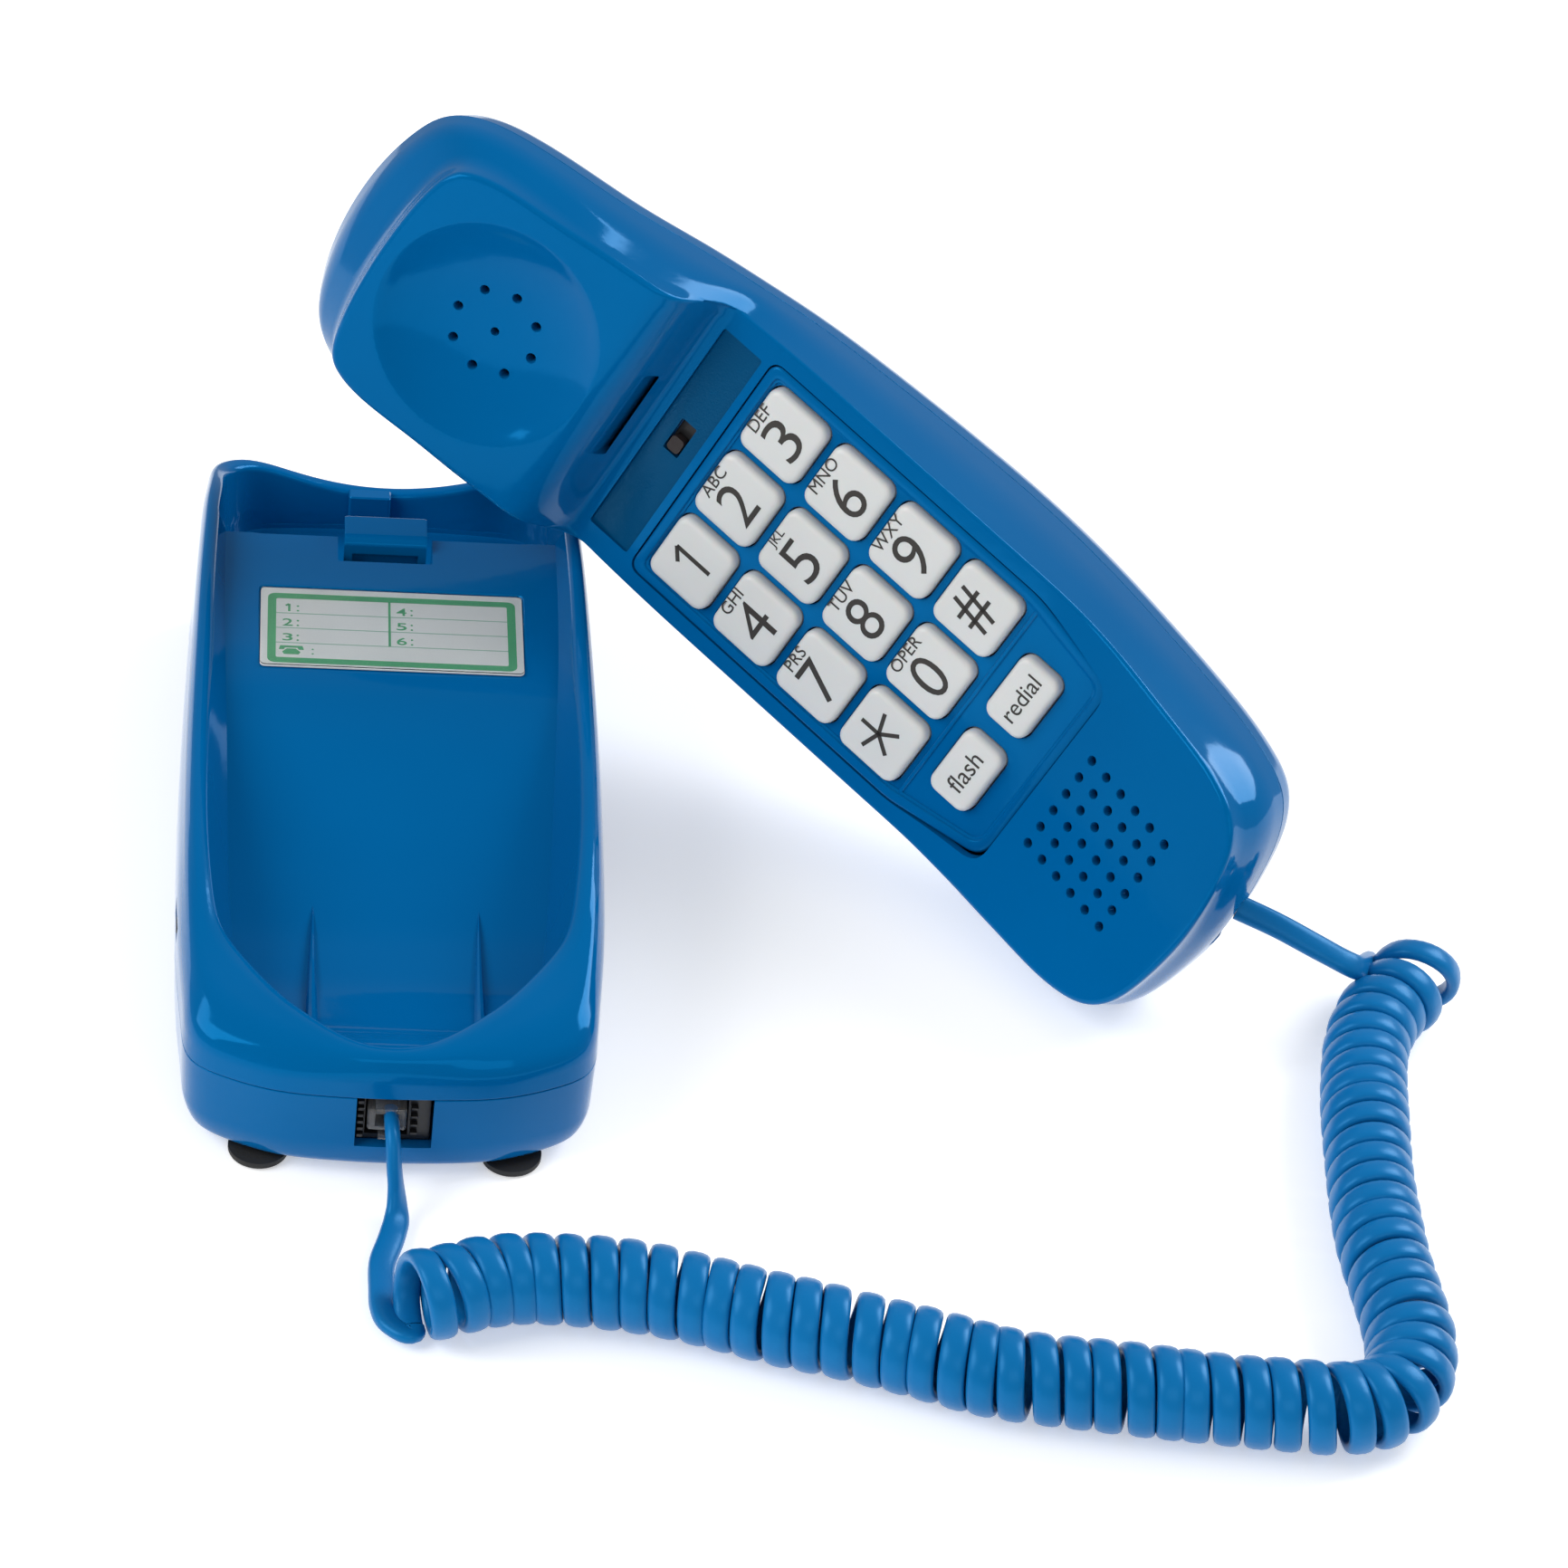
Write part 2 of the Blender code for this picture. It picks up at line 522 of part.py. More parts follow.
def handset_front_shell(handset):
    wall = handset_half(HANDSET_PARTING)
    edge = handset_half(HANDSET_EDGE)
    centre = -11.0
    parting = curve_at(PARTING_HEIGHT, wall[:, 1]) + GAP / 2
    shoulder = wall * 0.2 + edge * 0.8
    shoulder_height = curve_at(SHOULDER_HEIGHT, shoulder[:, 1])
    bulge = shrink(wall * 0.72 + edge * 0.28, -0.3, -0.5, centre)
    inside = shrink(wall, WALL, WALL, centre)
    under = shrink(edge, WALL, WALL, centre)
    thick = curve_at([(-130, 7.5), (-66, 7.5), (-58, 9.0), (-50, WALL), (110, WALL)], under[:, 1])
    verts, faces = shell_mesh([
        handset_ring(under, face_height(under[:, 1]) - thick),
        handset_ring(inside * 0.7 + under * 0.3, parting * 0.6 + shoulder_height * 0.4 - 1.5),
        handset_ring(inside, parting),
        handset_ring(wall, parting),
        handset_ring(bulge, parting * 0.5 + shoulder_height * 0.5),
        handset_ring(shoulder, shoulder_height),
        handset_ring(edge, face_height(edge[:, 1])),
    ])
    shell = add("handset_front_shell", verts, faces, shell_blue(), handset)
    verts, faces = stack([(window_outline(0), -12), (window_outline(0), 12)])
    cut(shell, add("keypad_window", verts, faces, None, handset))
    slope = math.atan(EAR_TILT)
    ear = bpy.data.objects.new("ear_frame", None)
    ear.parent = handset
    ear.location = (DISH_U * MM, 0, 21.1 * MM)
    ear.rotation_euler = (0, slope, 0)
    bpy.data.collections["corded_phone"].objects.link(ear)
    depths = [(DISH_RADIUS + 1.2, 1.0), (DISH_RADIUS, 0.0), (DISH_RADIUS - 4, -1.7), (DISH_RADIUS - 9, -3.0),
              (DISH_RADIUS - 15, -DISH_DEPTH)]
    angle = np.linspace(0, 2 * math.pi, 32, endpoint=False)
    circle = np.column_stack([np.cos(angle), np.sin(angle)])
    verts, faces = stack([(radius * circle, height) for radius, height in reversed(depths)])
    cut(shell, add("earpiece_dish", verts, faces, None, ear))
    centres = [(0, 0)] + [(EAR_RING * math.cos(a), EAR_RING * math.sin(a))
                          for a in np.linspace(0, 2 * math.pi, 8, endpoint=False)]
    cut(shell, hole_cutter("ear_holes", centres, -14, 4, ear))
    mic = bpy.data.objects.new("mic_frame", None)
    mic.parent = handset
    mic.location = (MIC_U * MM, 0, MIC_TILT * (MIC_U - MIC_START) * MM)
    mic.rotation_euler = (0, -math.atan(MIC_TILT), 0)
    bpy.data.collections["corded_phone"].objects.link(mic)
    offsets = (np.arange(MIC_COUNT) - (MIC_COUNT - 1) / 2) * MIC_PITCH
    cut(shell, hole_cutter("mic_holes", [(a, b) for a in offsets for b in offsets], -8, 4, mic))
    cut(shell, box("label_recess", (-50.4, -27, -0.7), (-40.2, 27, 6), None, handset))
    cut(shell, box("volume_slot", (-47, -3, -9), (-43, 5, 4), None, handset))
    cut(shell, jack_cutter(handset))
    return shell


def hole_cutter(name, centres, low, high, parent):
    angle = np.linspace(0, 2 * math.pi, 8, endpoint=False)
    circle = SOUND_HOLE * np.column_stack([np.cos(angle), np.sin(angle)])
    verts, faces = [], []
    for centre in centres:
        ring_verts, ring_faces = stack([(circle + centre, low), (circle + centre, high)])
        faces += [tuple(i + 16 * len(verts) for i in f) for f in ring_faces]
        verts.append(ring_verts)
    return add(name, np.vstack(verts), faces, None, parent)


def jack_cutter(handset):
    found = bpy.data.objects.get("handset_jack_cutter")
    return found or box("handset_jack_cutter", (86, -4.6, -13.7), (112, 8.0, -0.6), None, handset)


def handset_back_shell(handset):
    wall = handset_half(HANDSET_PARTING)
    centre = -11.0
    parting = curve_at(PARTING_HEIGHT, wall[:, 1]) - GAP / 2
    outside = [(0, 0, 0), (0.5, 0.6, 5.4), (3.6, 2.8, 10.4), (10.5, 7.5, 13.8)]
    rings = [handset_ring(shrink(wall, side, end, centre), parting - drop) for side, end, drop in outside]
    inside = [handset_ring(shrink(wall, side + WALL, end + WALL, centre), parting - drop)
              for side, end, drop in [(0, 0, 0), (0.5, 0.6, 4.2), (3.6, 2.8, 8.6), (10.5, 7.5, 11.6)]]
    verts, faces = shell_mesh(inside[::-1] + rings)
    shell = add("handset_back_shell", verts, faces, shell_blue(), handset)
    cut(shell, jack_cutter(handset))
    return shell


def key_outline(u, v, size):
    return rounded(size[0], size[1], KEY_CORNER) + (u, v)


def key_places():
    names = ["1", "2", "3", "4", "5", "6", "7", "8", "9", "star", "0", "hash"]
    places = {}
    for index, name in enumerate(names):
        row, column = divmod(index, 3)
        places["key_" + name] = ((row - 1.5) * KEY_PITCH, (column - 1) * KEY_PITCH, (KEY_SIZE, KEY_SIZE))
    places["key_flash"] = (FUNCTION_U, FUNCTION_V[0], FUNCTION_KEY)
    places["key_redial"] = (FUNCTION_U, FUNCTION_V[1], FUNCTION_KEY)
    return places


def keypad(handset):
    outline = window_outline(GAP)
    bezel = add("keypad_bezel", *stack([(outline, -2.0), (outline, 0.0)]), shell_blue(), handset)
    holes_v, holes_f = [], []
    for name, (u, v, cap) in key_places().items():
        hole = key_outline(u, v, (cap[0] + 2 * GAP, cap[1] + 2 * GAP))
        verts, faces = stack([(hole, -5), (hole, 5)])
        holes_f += [tuple(i + len(hole) * 2 * len(holes_v) for i in f) for f in faces]
        holes_v.append(verts)
        foot, top = key_outline(u, v, cap), key_outline(u, v, (cap[0] - 1.4, cap[1] - 1.4))
        layers = [(foot, -3.2), (foot, KEY_PROUD - 0.6), (top, KEY_PROUD)]
        verts, faces = stack(layers)
        add(name, verts, faces, key_white(), handset, origin=(u, v, 0))
    cut(bezel, add("key_holes", np.vstack(holes_v), holes_f, None, handset))
    add("keypad_rubber_mat", *stack([(outline, -6.2), (outline, -4.8)]), rubber(), handset)
    add("keypad_circuit_board", *stack([(outline, -8.1), (outline, -6.5)]), board_green(), handset)


def handset_insides(handset):
    box("label_panel", (-50.1, -26.7, -0.4), (-40.5, 26.7, 0.1), shell_blue(), handset)
    cut(bpy.data.objects["label_panel"], box("panel_slot", (-47, -3, -9), (-43, 5, 4), None, handset))
    box("volume_switch_body", (-49, -7, -10.5), (-41, 9, -3.0), black(), handset)
    box("volume_switch_knob", (-46.7, -2.7, -2.6), (-43.3, 1.0, 0.9), black(), handset, origin=(-45, -0.85, 0))
    disc("receiver_capsule", (DISH_U, 0), 16, 2.0, 8.6, steel(), handset, 20)
    disc("microphone_capsule", (MIC_U, 0), 5, -2.6, 3.0, steel(), handset, 16)
    box("ballast_weight", (-20, -13, -22.5), (16, 13, -11), steel(), handset)
    body = box("handset_jack", (86.4, -4.3, -13.4), (103.0, 7.7, -0.9), shell_blue(), handset)
    cut(body, box("handset_jack_socket", (91, -2.6, -12.6), (112, 5.8, -4.4), None, handset))
    side = [(0, 0.6), (0, 6.0), (6.5, 7.1), (11.4, 7.1), (11.4, 1.8), (6.4, 1.6), (6.4, 0.6)]
    outline = [(-5.2 - b, 105.4 - a) for a, b in side]
    verts, faces = stack([(np.array(outline), 1.6 - PLUG_WIDTH / 2), (np.array(outline), 1.6 + PLUG_WIDTH / 2)])
    add("handset_plug", verts[:, [1, 2, 0]], faces, clear(), handset)


def cord(base):
    tube("base_lead", BASE_LEAD, LEAD_RADIUS, cord_blue(), base, 2)
    tube("cord_coil_front", COIL_FRONT, COIL_RADIUS, cord_blue(), base, 1, 3)
    tube("cord_coil_side", COIL_SIDE, COIL_RADIUS, cord_blue(), base, 1, 3)
    tube("handset_lead", HANDSET_LEAD, LEAD_RADIUS, cord_blue(), base, 2)


def main():
    base, handset = start()
    base_upper_shell(base)
    base_lower_shell(base)
    base_insides(base)
    hook_lever(base)
    hook_spring(base)
    index_card(base)
    handset_front_shell(handset)
    handset_back_shell(handset)
    keypad(handset)
    handset_insides(handset)
    cord(base)


main()
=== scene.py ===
import math
import bmesh
import bpy
import mathutils
import numpy as np
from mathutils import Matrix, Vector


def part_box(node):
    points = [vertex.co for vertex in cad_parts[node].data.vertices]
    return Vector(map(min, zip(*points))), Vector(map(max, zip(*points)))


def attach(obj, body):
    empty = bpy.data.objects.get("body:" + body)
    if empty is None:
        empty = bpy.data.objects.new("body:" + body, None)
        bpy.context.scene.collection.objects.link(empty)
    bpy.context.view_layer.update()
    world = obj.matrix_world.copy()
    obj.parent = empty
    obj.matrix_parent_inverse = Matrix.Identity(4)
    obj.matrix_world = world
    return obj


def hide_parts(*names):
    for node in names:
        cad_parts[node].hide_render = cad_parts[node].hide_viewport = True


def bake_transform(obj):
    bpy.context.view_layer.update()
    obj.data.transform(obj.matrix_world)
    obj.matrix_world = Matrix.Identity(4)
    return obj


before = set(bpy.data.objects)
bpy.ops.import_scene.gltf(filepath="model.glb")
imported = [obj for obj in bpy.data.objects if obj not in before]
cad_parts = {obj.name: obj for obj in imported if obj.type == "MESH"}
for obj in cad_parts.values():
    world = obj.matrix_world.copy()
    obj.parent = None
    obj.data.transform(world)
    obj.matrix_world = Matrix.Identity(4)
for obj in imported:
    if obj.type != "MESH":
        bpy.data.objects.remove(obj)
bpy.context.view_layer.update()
mm = 0.001


def boxCentre(node):
    low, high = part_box(node)
    return (np.array(low) + np.array(high)) / 2


def unit(vector):
    return vector / np.linalg.norm(vector)


cardY = 124.1  # the index card's middle, from the base's front
baseShift = boxCentre("index_card") * (1, 1, 0) - (0, cardY * mm, 0)
keyProud = 1.8
uAxis = unit(boxCentre("key_star") - boxCentre("key_1"))  # towards the microphone
vAxis = unit(boxCentre("key_3") - boxCentre("key_1"))
wAxis = np.cross(uAxis, vAxis)  # out of the face
gridKeys = ["key_" + name for name in "1 2 3 4 5 6 7 8 9 star 0 hash".split()]
padCentre = np.mean([boxCentre(name) for name in gridKeys], axis=0)
keyTop = max(float(np.dot(wAxis, v.co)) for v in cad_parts["key_5"].data.vertices)
handsetOrigin = padCentre + wAxis * (keyTop - keyProud * mm - padCentre @ wAxis)
handsetTurn = np.array([uAxis, vAxis, wAxis])


def onBase(points):
    return np.asarray(points, float) * mm + baseShift


def onHandset(points):
    return handsetOrigin + np.asarray(points, float) * mm @ handsetTurn


def tilted(points, centre, slope):
    # Points of a plane that is centred on the handset's face and rises by slope for each unit of u.
    a = math.atan(slope)
    turn = np.array([[math.cos(a), 0, math.sin(a)], [0, 1, 0], [-math.sin(a), 0, math.cos(a)]])
    return onHandset(np.asarray(points, float) @ turn + centre)


def closedSpline(half, knots, count):
    # Periodic cubic spline through a half outline and its mirror image, with knots at the chord lengths.
    # Second derivatives m solve h[i-1] m[i-1] + 2 (h[i-1] + h[i]) m[i] + h[i] m[i+1] = 6 (slope[i] -
    # slope[i-1]).
    half = np.asarray(half, float)
    mirror = half[-2:0:-1] * np.where(np.arange(half.shape[1]) == 0, -1, 1)
    points = np.vstack([half, mirror])
    gaps = np.concatenate([knots, knots[::-1]])
    n = len(points)
    here = np.arange(n)
    before, after = (here - 1) % n, (here + 1) % n
    slope = (points[after] - points) / gaps[:, None]
    system = np.zeros((n, n))
    system[here, before] = gaps[before]
    system[here, here] = 2 * (gaps[before] + gaps)
    system[here, after] += gaps
    bend = np.linalg.solve(system, 6 * (slope - slope[before]))
    starts = np.concatenate([[0], np.cumsum(gaps)])
    at = np.linspace(0, starts[-1], count, endpoint=False)
    i = np.clip(np.searchsorted(starts, at, side="right") - 1, 0, n - 1)
    h, a = gaps[i][:, None], ((starts[i + 1] - at) / gaps[i])[:, None]
    b = 1 - a
    j = (i + 1) % n
    return a * points[i] + b * points[j] + ((a**3 - a) * bend[i] + (b**3 - b) * bend[j]) * h**2 / 6


def knotGaps(half):
    return np.linalg.norm(np.diff(np.asarray(half, float)[:, :2], axis=0), axis=1)


def roundRows(rows, radii, steps=6):
    # Rows of a surface with each inner row replaced by a quadratic arc that starts and ends radius
    # away from it.
    made = [rows[0]]
    t = np.linspace(0, 1, steps + 1)[:, None, None]
    for before, corner, after, radius in zip(rows, rows[1:], rows[2:], radii):
        back, on = before - corner, after - corner
        backLength = np.linalg.norm(back, axis=1, keepdims=True)
        onLength = np.linalg.norm(on, axis=1, keepdims=True)
        reach = np.minimum(radius, 0.48 * np.minimum(backLength, onLength))
        first, last = corner + back / backLength * reach, corner + on / onLength * reach
        made += list((1 - t) ** 2 * first + 2 * t * (1 - t) * corner + t**2 * last)
    return np.array(made + [rows[-1]])


def shrink(ring, side, end, centre):
    # A ring (width, length, height) drawn in by side across and by end along its length, about centre.
    across = 1 - side / np.abs(ring[:, 0]).max()
    along = 1 - end / np.abs(ring[:, 1] - centre).max()
    return np.column_stack([ring[:, 0] * across, centre + (ring[:, 1] - centre) * along, ring[:, 2:]])


def raised(ring, height):
    return np.column_stack([ring[:, :2], np.broadcast_to(height, len(ring))])


def ringFaces(rows, count):
    # Quads between neighbouring closed rows.
    r, c = np.meshgrid(np.arange(rows - 1), np.arange(count), indexing="ij")
    n = (c + 1) % count
    low, high = r * count, (r + 1) * count
    return np.stack([low + c, low + n, high + n, high + c], -1).reshape(-1, 4)


def tubeFaces(rows, count):
    # Those quads, and one face that closes each end.
    ends = [tuple(range(count)), tuple(range((rows - 1) * count, rows * count))]
    return ringFaces(rows, count).tolist() + ends


def acrossFill(ring, columns, height):
    # The inside of a symmetric ring as rows straight across it, whose height is a function of (width,
    # length).
    # Returns the new points, and faces that count them after the ring's own points.
    count = len(ring)
    half = count // 2
    i = np.arange(1, half)
    s = np.linspace(0, 1, columns + 1)[1:-1]
    a, b = ring[i][:, None], ring[count - i][:, None]
    inner = (a + (b - a) * s[None, :, None]).reshape(-1, 3)
    inner[:, 2] = height(inner[:, 0], inner[:, 1])
    table = np.empty((half - 1, columns + 1), int)
    table[:, 0], table[:, -1] = i, count - i
    table[:, 1:-1] = count + np.arange((half - 1) * (columns - 1)).reshape(half - 1, -1)
    quads = np.stack([table[:-1, :-1], table[:-1, 1:], table[1:, 1:], table[1:, :-1]], -1).reshape(-1, 4)
    near = np.column_stack([np.zeros(columns, int), table[0, 1:], table[0, :-1]])
    far = np.column_stack([np.full(columns, half), table[-1, :-1], table[-1, 1:]])
    return inner, quads.tolist() + near.tolist() + far.tolist()


def bowl(rows, columns, lowHeight, highHeight):
    # A closed skin: stacked rings, with the first and the last one filled across.
    count = len(rows[0])
    points, faces = [np.vstack(rows)], ringFaces(len(rows), count).tolist()
    total = len(rows) * count
    for start, ring, height in ((0, rows[0], lowHeight), (total - count, rows[-1], highHeight)):
        inner, cells = acrossFill(ring, columns, height)
        shift = np.concatenate([start + np.arange(count), total + np.arange(len(inner))])
        faces += [tuple(shift[list(cell)]) for cell in cells]
        points.append(inner)
        total += len(inner)
    return np.vstack(points), faces


def roundedBox(width, depth, corner, steps=6):
    # Outline of a rectangle whose corners are quarter circles.
    quarter = np.radians(np.linspace(0, 90, steps + 1))
    parts = []
    for k, (sx, sy) in enumerate([(1, 1), (-1, 1), (-1, -1), (1, -1)]):
        angle = quarter + k * math.pi / 2
        parts.append(np.column_stack([sx * (width / 2 - corner) + corner * np.cos(angle),
                                      sy * (depth / 2 - corner) + corner * np.sin(angle)]))
    return np.vstack(parts)


def circlePoints(sides):
    angle = np.linspace(0, 2 * math.pi, sides, endpoint=False)
    return np.column_stack([np.cos(angle), np.sin(angle)])


def roundedPolygon(corners, radius, steps=6):
    # A closed polygon with each corner turned into a quadratic arc. Radius is one number, or one for
    # each corner.
    p = np.asarray(corners, float)
    radius = np.broadcast_to(radius, len(p))[:, None]
    back, on = np.roll(p, 1, axis=0) - p, np.roll(p, -1, axis=0) - p
    first = p + back / np.linalg.norm(back, axis=1, keepdims=True) * radius
    last = p + on / np.linalg.norm(on, axis=1, keepdims=True) * radius
    t = np.linspace(0, 1, steps + 1)[None, :, None]
    arcs = (1 - t) ** 2 * first[:, None] + 2 * t * (1 - t) * p[:, None] + t**2 * last[:, None]
    return arcs.reshape(-1, 2)


def stacked(layers):
    # A closed body from (outline, height) layers: walls between them and a flat face at each end.
    count = len(layers[0][0])
    rings = [np.column_stack([outline, np.full(count, float(height))]) for outline, height in layers]
    return np.vstack(rings), tubeFaces(len(layers), count)


def prism(outline, low, high):
    return stacked([(outline, low), (outline, high)])


def sideways(layers):
    # The same with outlines in (y, z), stacked along x.
    points, faces = stacked(layers)
    return points[:, [2, 0, 1]], faces


def rectangle(x0, y0, x1, y1, radius, steps=2):
    return roundedPolygon([(x0, y0), (x1, y0), (x1, y1), (x0, y1)], radius, steps)


def pillow(outlineAt, profile, crown, rings=4):
    # A cap: outlineAt(inset) gives its outline, profile lists (inset, height), and the top swells by crown.
    layers = [(outlineAt(inset), height) for inset, height in profile]
    top, topHeight = layers[-1]
    centre = top.mean(axis=0)
    for k in range(1, rings):
        share = 1 - k / rings
        layers.append((centre + (top - centre) * share, topHeight + crown * (1 - share**2)))
    return stacked(layers)


def linked(name, data):
    obj = bpy.data.objects.new(name, data)
    bpy.context.scene.collection.objects.link(obj)
    return obj


def newObject(name, points, faces, smooth=35):
    mesh = bpy.data.meshes.new(name)
    mesh.from_pydata(np.asarray(points).tolist(), [], [tuple(int(i) for i in face) for face in faces])
    form = bmesh.new()
    form.from_mesh(mesh)
    bmesh.ops.remove_doubles(form, verts=form.verts, dist=1e-7)
    bmesh.ops.recalc_face_normals(form, faces=form.faces)
    form.to_mesh(mesh)
    form.free()
    if smooth:
        mesh.shade_smooth()
        mesh.set_sharp_from_angle(angle=math.radians(smooth))
    return linked(name, mesh)


def placed(name, solid, place, smooth=0):
    return newObject(name, place(solid[0]), solid[1], smooth)


def joined(name, bodies, place, smooth=35):
    # Several closed bodies as one object.
    points, faces, start = [], [], 0
    for body, cells in bodies:
        points.append(body)
        faces += [tuple(int(i) + start for i in cell) for cell in cells]
        start += len(body)
    return newObject(name, place(np.vstack(points)), faces, smooth)


def boolean(obj, cutters, operation="DIFFERENCE", smooth=30):
    # Cuts or joins closed bodies, applies the result, and removes the cutters.
    for cutter in cutters:
        modifier = obj.modifiers.new("cut", "BOOLEAN")
        modifier.operation = operation
        modifier.solver = "EXACT"
        modifier.object = cutter
        graph = bpy.context.evaluated_depsgraph_get()
        mesh = bpy.data.meshes.new_from_object(obj.evaluated_get(graph))
        obj.modifiers.clear()
        obj.data = mesh
        bpy.data.objects.remove(cutter)
    obj.data.shade_smooth()
    obj.data.set_sharp_from_angle(angle=math.radians(smooth))
    return obj


def finishPiece(obj, look, body, slotName, *replaced):
    obj.data.materials.clear()
    obj.data.materials.append(looks[look])
    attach(obj, body)
    if replaced:
        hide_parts(*replaced)
    return obj


def weighted(obj):
    modifier = obj.modifiers.new("shading", "WEIGHTED_NORMAL")
    modifier.keep_sharp = True
    modifier.weight = 80
    return obj


def nodeMaterial(name, build):
    made = bpy.data.materials.new(name)
    made.use_nodes = True
    tree = made.node_tree
    shader = tree.nodes["Principled BSDF"]
    build(tree, shader)
    return made


def noiseOn(tree, scale, detail):
    place = tree.nodes.new("ShaderNodeTexCoord")
    noise = tree.nodes.new("ShaderNodeTexNoise")
    noise.inputs["Scale"].default_value = scale
    noise.inputs["Detail"].default_value = detail
    noise.inputs["Roughness"].default_value = 0.5
    tree.links.new(place.outputs["Object"], noise.inputs["Vector"])
    return noise


def ramp(tree, source, low, high):
    made = tree.nodes.new("ShaderNodeValToRGB")
    made.color_ramp.elements[0].position, made.color_ramp.elements[1].position = 0.3, 0.7
    made.color_ramp.elements[0].color, made.color_ramp.elements[1].color = (*low, 1), (*high, 1)
    tree.links.new(source, made.inputs["Fac"])
    return made


def bumpFrom(tree, shader, height, strength, distance):
    bump = tree.nodes.new("ShaderNodeBump")
    bump.inputs["Strength"].default_value = strength
    bump.inputs["Distance"].default_value = distance
    tree.links.new(height, bump.inputs["Height"])
    tree.links.new(bump.outputs["Normal"], shader.inputs["Normal"])


def mouldedPlastic(name, low, high, gloss, grain, settings=()):
    # Moulded plastic: a slow colour drift, a roughness that varies with it, and a fine skin on the surface.
    def build(tree, shader):
        drift = noiseOn(tree, 22, 2)
        colour = ramp(tree, drift.outputs["Fac"], low, high)
        tree.links.new(colour.outputs["Color"], shader.inputs["Base Color"])
        wear = noiseOn(tree, 160, 4)
        spread = tree.nodes.new("ShaderNodeMapRange")
        spread.inputs["To Min"].default_value, spread.inputs["To Max"].default_value = gloss
        tree.links.new(wear.outputs["Fac"], spread.inputs["Value"])
        tree.links.new(spread.outputs["Result"], shader.inputs["Roughness"])
        skin = noiseOn(tree, grain[0], 2)
        bumpFrom(tree, shader, skin.outputs["Fac"], grain[1], grain[2])
        for socket, value in settings:
            shader.inputs[socket].default_value = value
    return nodeMaterial(name, build)


# Each look: two colours it drifts between, roughness from and to, and the scale, strength and depth
# of its skin.
lookFacts = {
    "glossyBlue": ((0.0, 0.107, 0.312), (0.0, 0.116, 0.332), (0.06, 0.12), (260, 0.06, 0.0004),
                   [("IOR", 1.5), ("Specular Tint", (0.02, 0.45, 1.0, 1.0))]),
    "panelBlue": ((0.0, 0.056, 0.15), (0.0, 0.064, 0.17), (0.16, 0.24), (2400, 0.25, 0.0002),
                  [("Specular Tint", (0.1, 0.5, 0.9, 1.0))]),
    "cordBlue": ((0.002, 0.138, 0.375), (0.004, 0.152, 0.41), (0.26, 0.36), (900, 0.08, 0.0003),
                 [("Specular Tint", (0.15, 0.55, 1.0, 1.0))]),
    "keyWhite": ((0.66, 0.67, 0.655), (0.72, 0.73, 0.715), (0.3, 0.38), (1800, 0.12, 0.0002),
                 [("Subsurface Weight", 0.15), ("Subsurface Scale", 0.002)]),
    "keyInk": ((0.028, 0.024, 0.02), (0.045, 0.04, 0.034), (0.45, 0.55), (3000, 0.1, 0.0001)),
    "blackPlastic": ((0.006, 0.006, 0.007), (0.012, 0.012, 0.013), (0.3, 0.45), (1500, 0.15, 0.0002)),
    "brownPlastic": ((0.018, 0.012, 0.011), (0.03, 0.02, 0.018), (0.35, 0.5), (1500, 0.2, 0.0002)),
    "blackRubber": ((0.012, 0.012, 0.012), (0.02, 0.02, 0.02), (0.65, 0.85), (1200, 0.3, 0.0003)),
    "boardGreen": ((0.01, 0.12, 0.05), (0.02, 0.16, 0.07), (0.3, 0.45), (900, 0.2, 0.0002)),
    "cardPaper": ((0.76, 0.78, 0.77), (0.82, 0.84, 0.83), (0.5, 0.65), (2600, 0.15, 0.0002)),
    "cardGreen": ((0.09, 0.40, 0.19), (0.12, 0.45, 0.22), (0.5, 0.65), (2600, 0.1, 0.0001)),
    "paleGreen": ((0.28, 0.52, 0.40), (0.32, 0.56, 0.44), (0.5, 0.65), (2600, 0.1, 0.0001)),
    "clearPlastic": ((0.86, 0.87, 0.88), (0.93, 0.94, 0.95), (0.04, 0.12), (700, 0.1, 0.0003),
                     [("Transmission Weight", 0.93), ("IOR", 1.49)]),
    "clearCover": ((0.95, 0.96, 0.96), (0.98, 0.99, 0.99), (0.05, 0.1), (200, 0.04, 0.0002),
                   [("Transmission Weight", 1.0), ("IOR", 1.2)]),
    "plateSteel": ((0.5, 0.5, 0.52), (0.6, 0.6, 0.62), (0.25, 0.4), (1400, 0.1, 0.0002),
                   [("Metallic", 1.0)]),
    "goldContact": ((0.75, 0.5, 0.18), (0.85, 0.6, 0.25), (0.2, 0.3), (1400, 0.1, 0.0002),
                    [("Metallic", 1.0)]),
}
looks = {name: mouldedPlastic(name, *facts) for name, facts in lookFacts.items()}
print("materials made")

cameraFacts = {"place": (-49.503, -881.666, 798.128), "turn": (51.7946, -5.4748, -3.3379), "lens": 139.12}


def makeCamera():
    data = bpy.data.cameras.new("camera")
    data.lens, data.sensor_width = cameraFacts["lens"], 36
    data.clip_start, data.clip_end = 0.05, 20
    camera = linked("camera", data)
    camera.location = onBase(cameraFacts["place"])
    camera.rotation_euler = [math.radians(a) for a in cameraFacts["turn"]]
    bpy.context.scene.camera = camera


makeCamera()

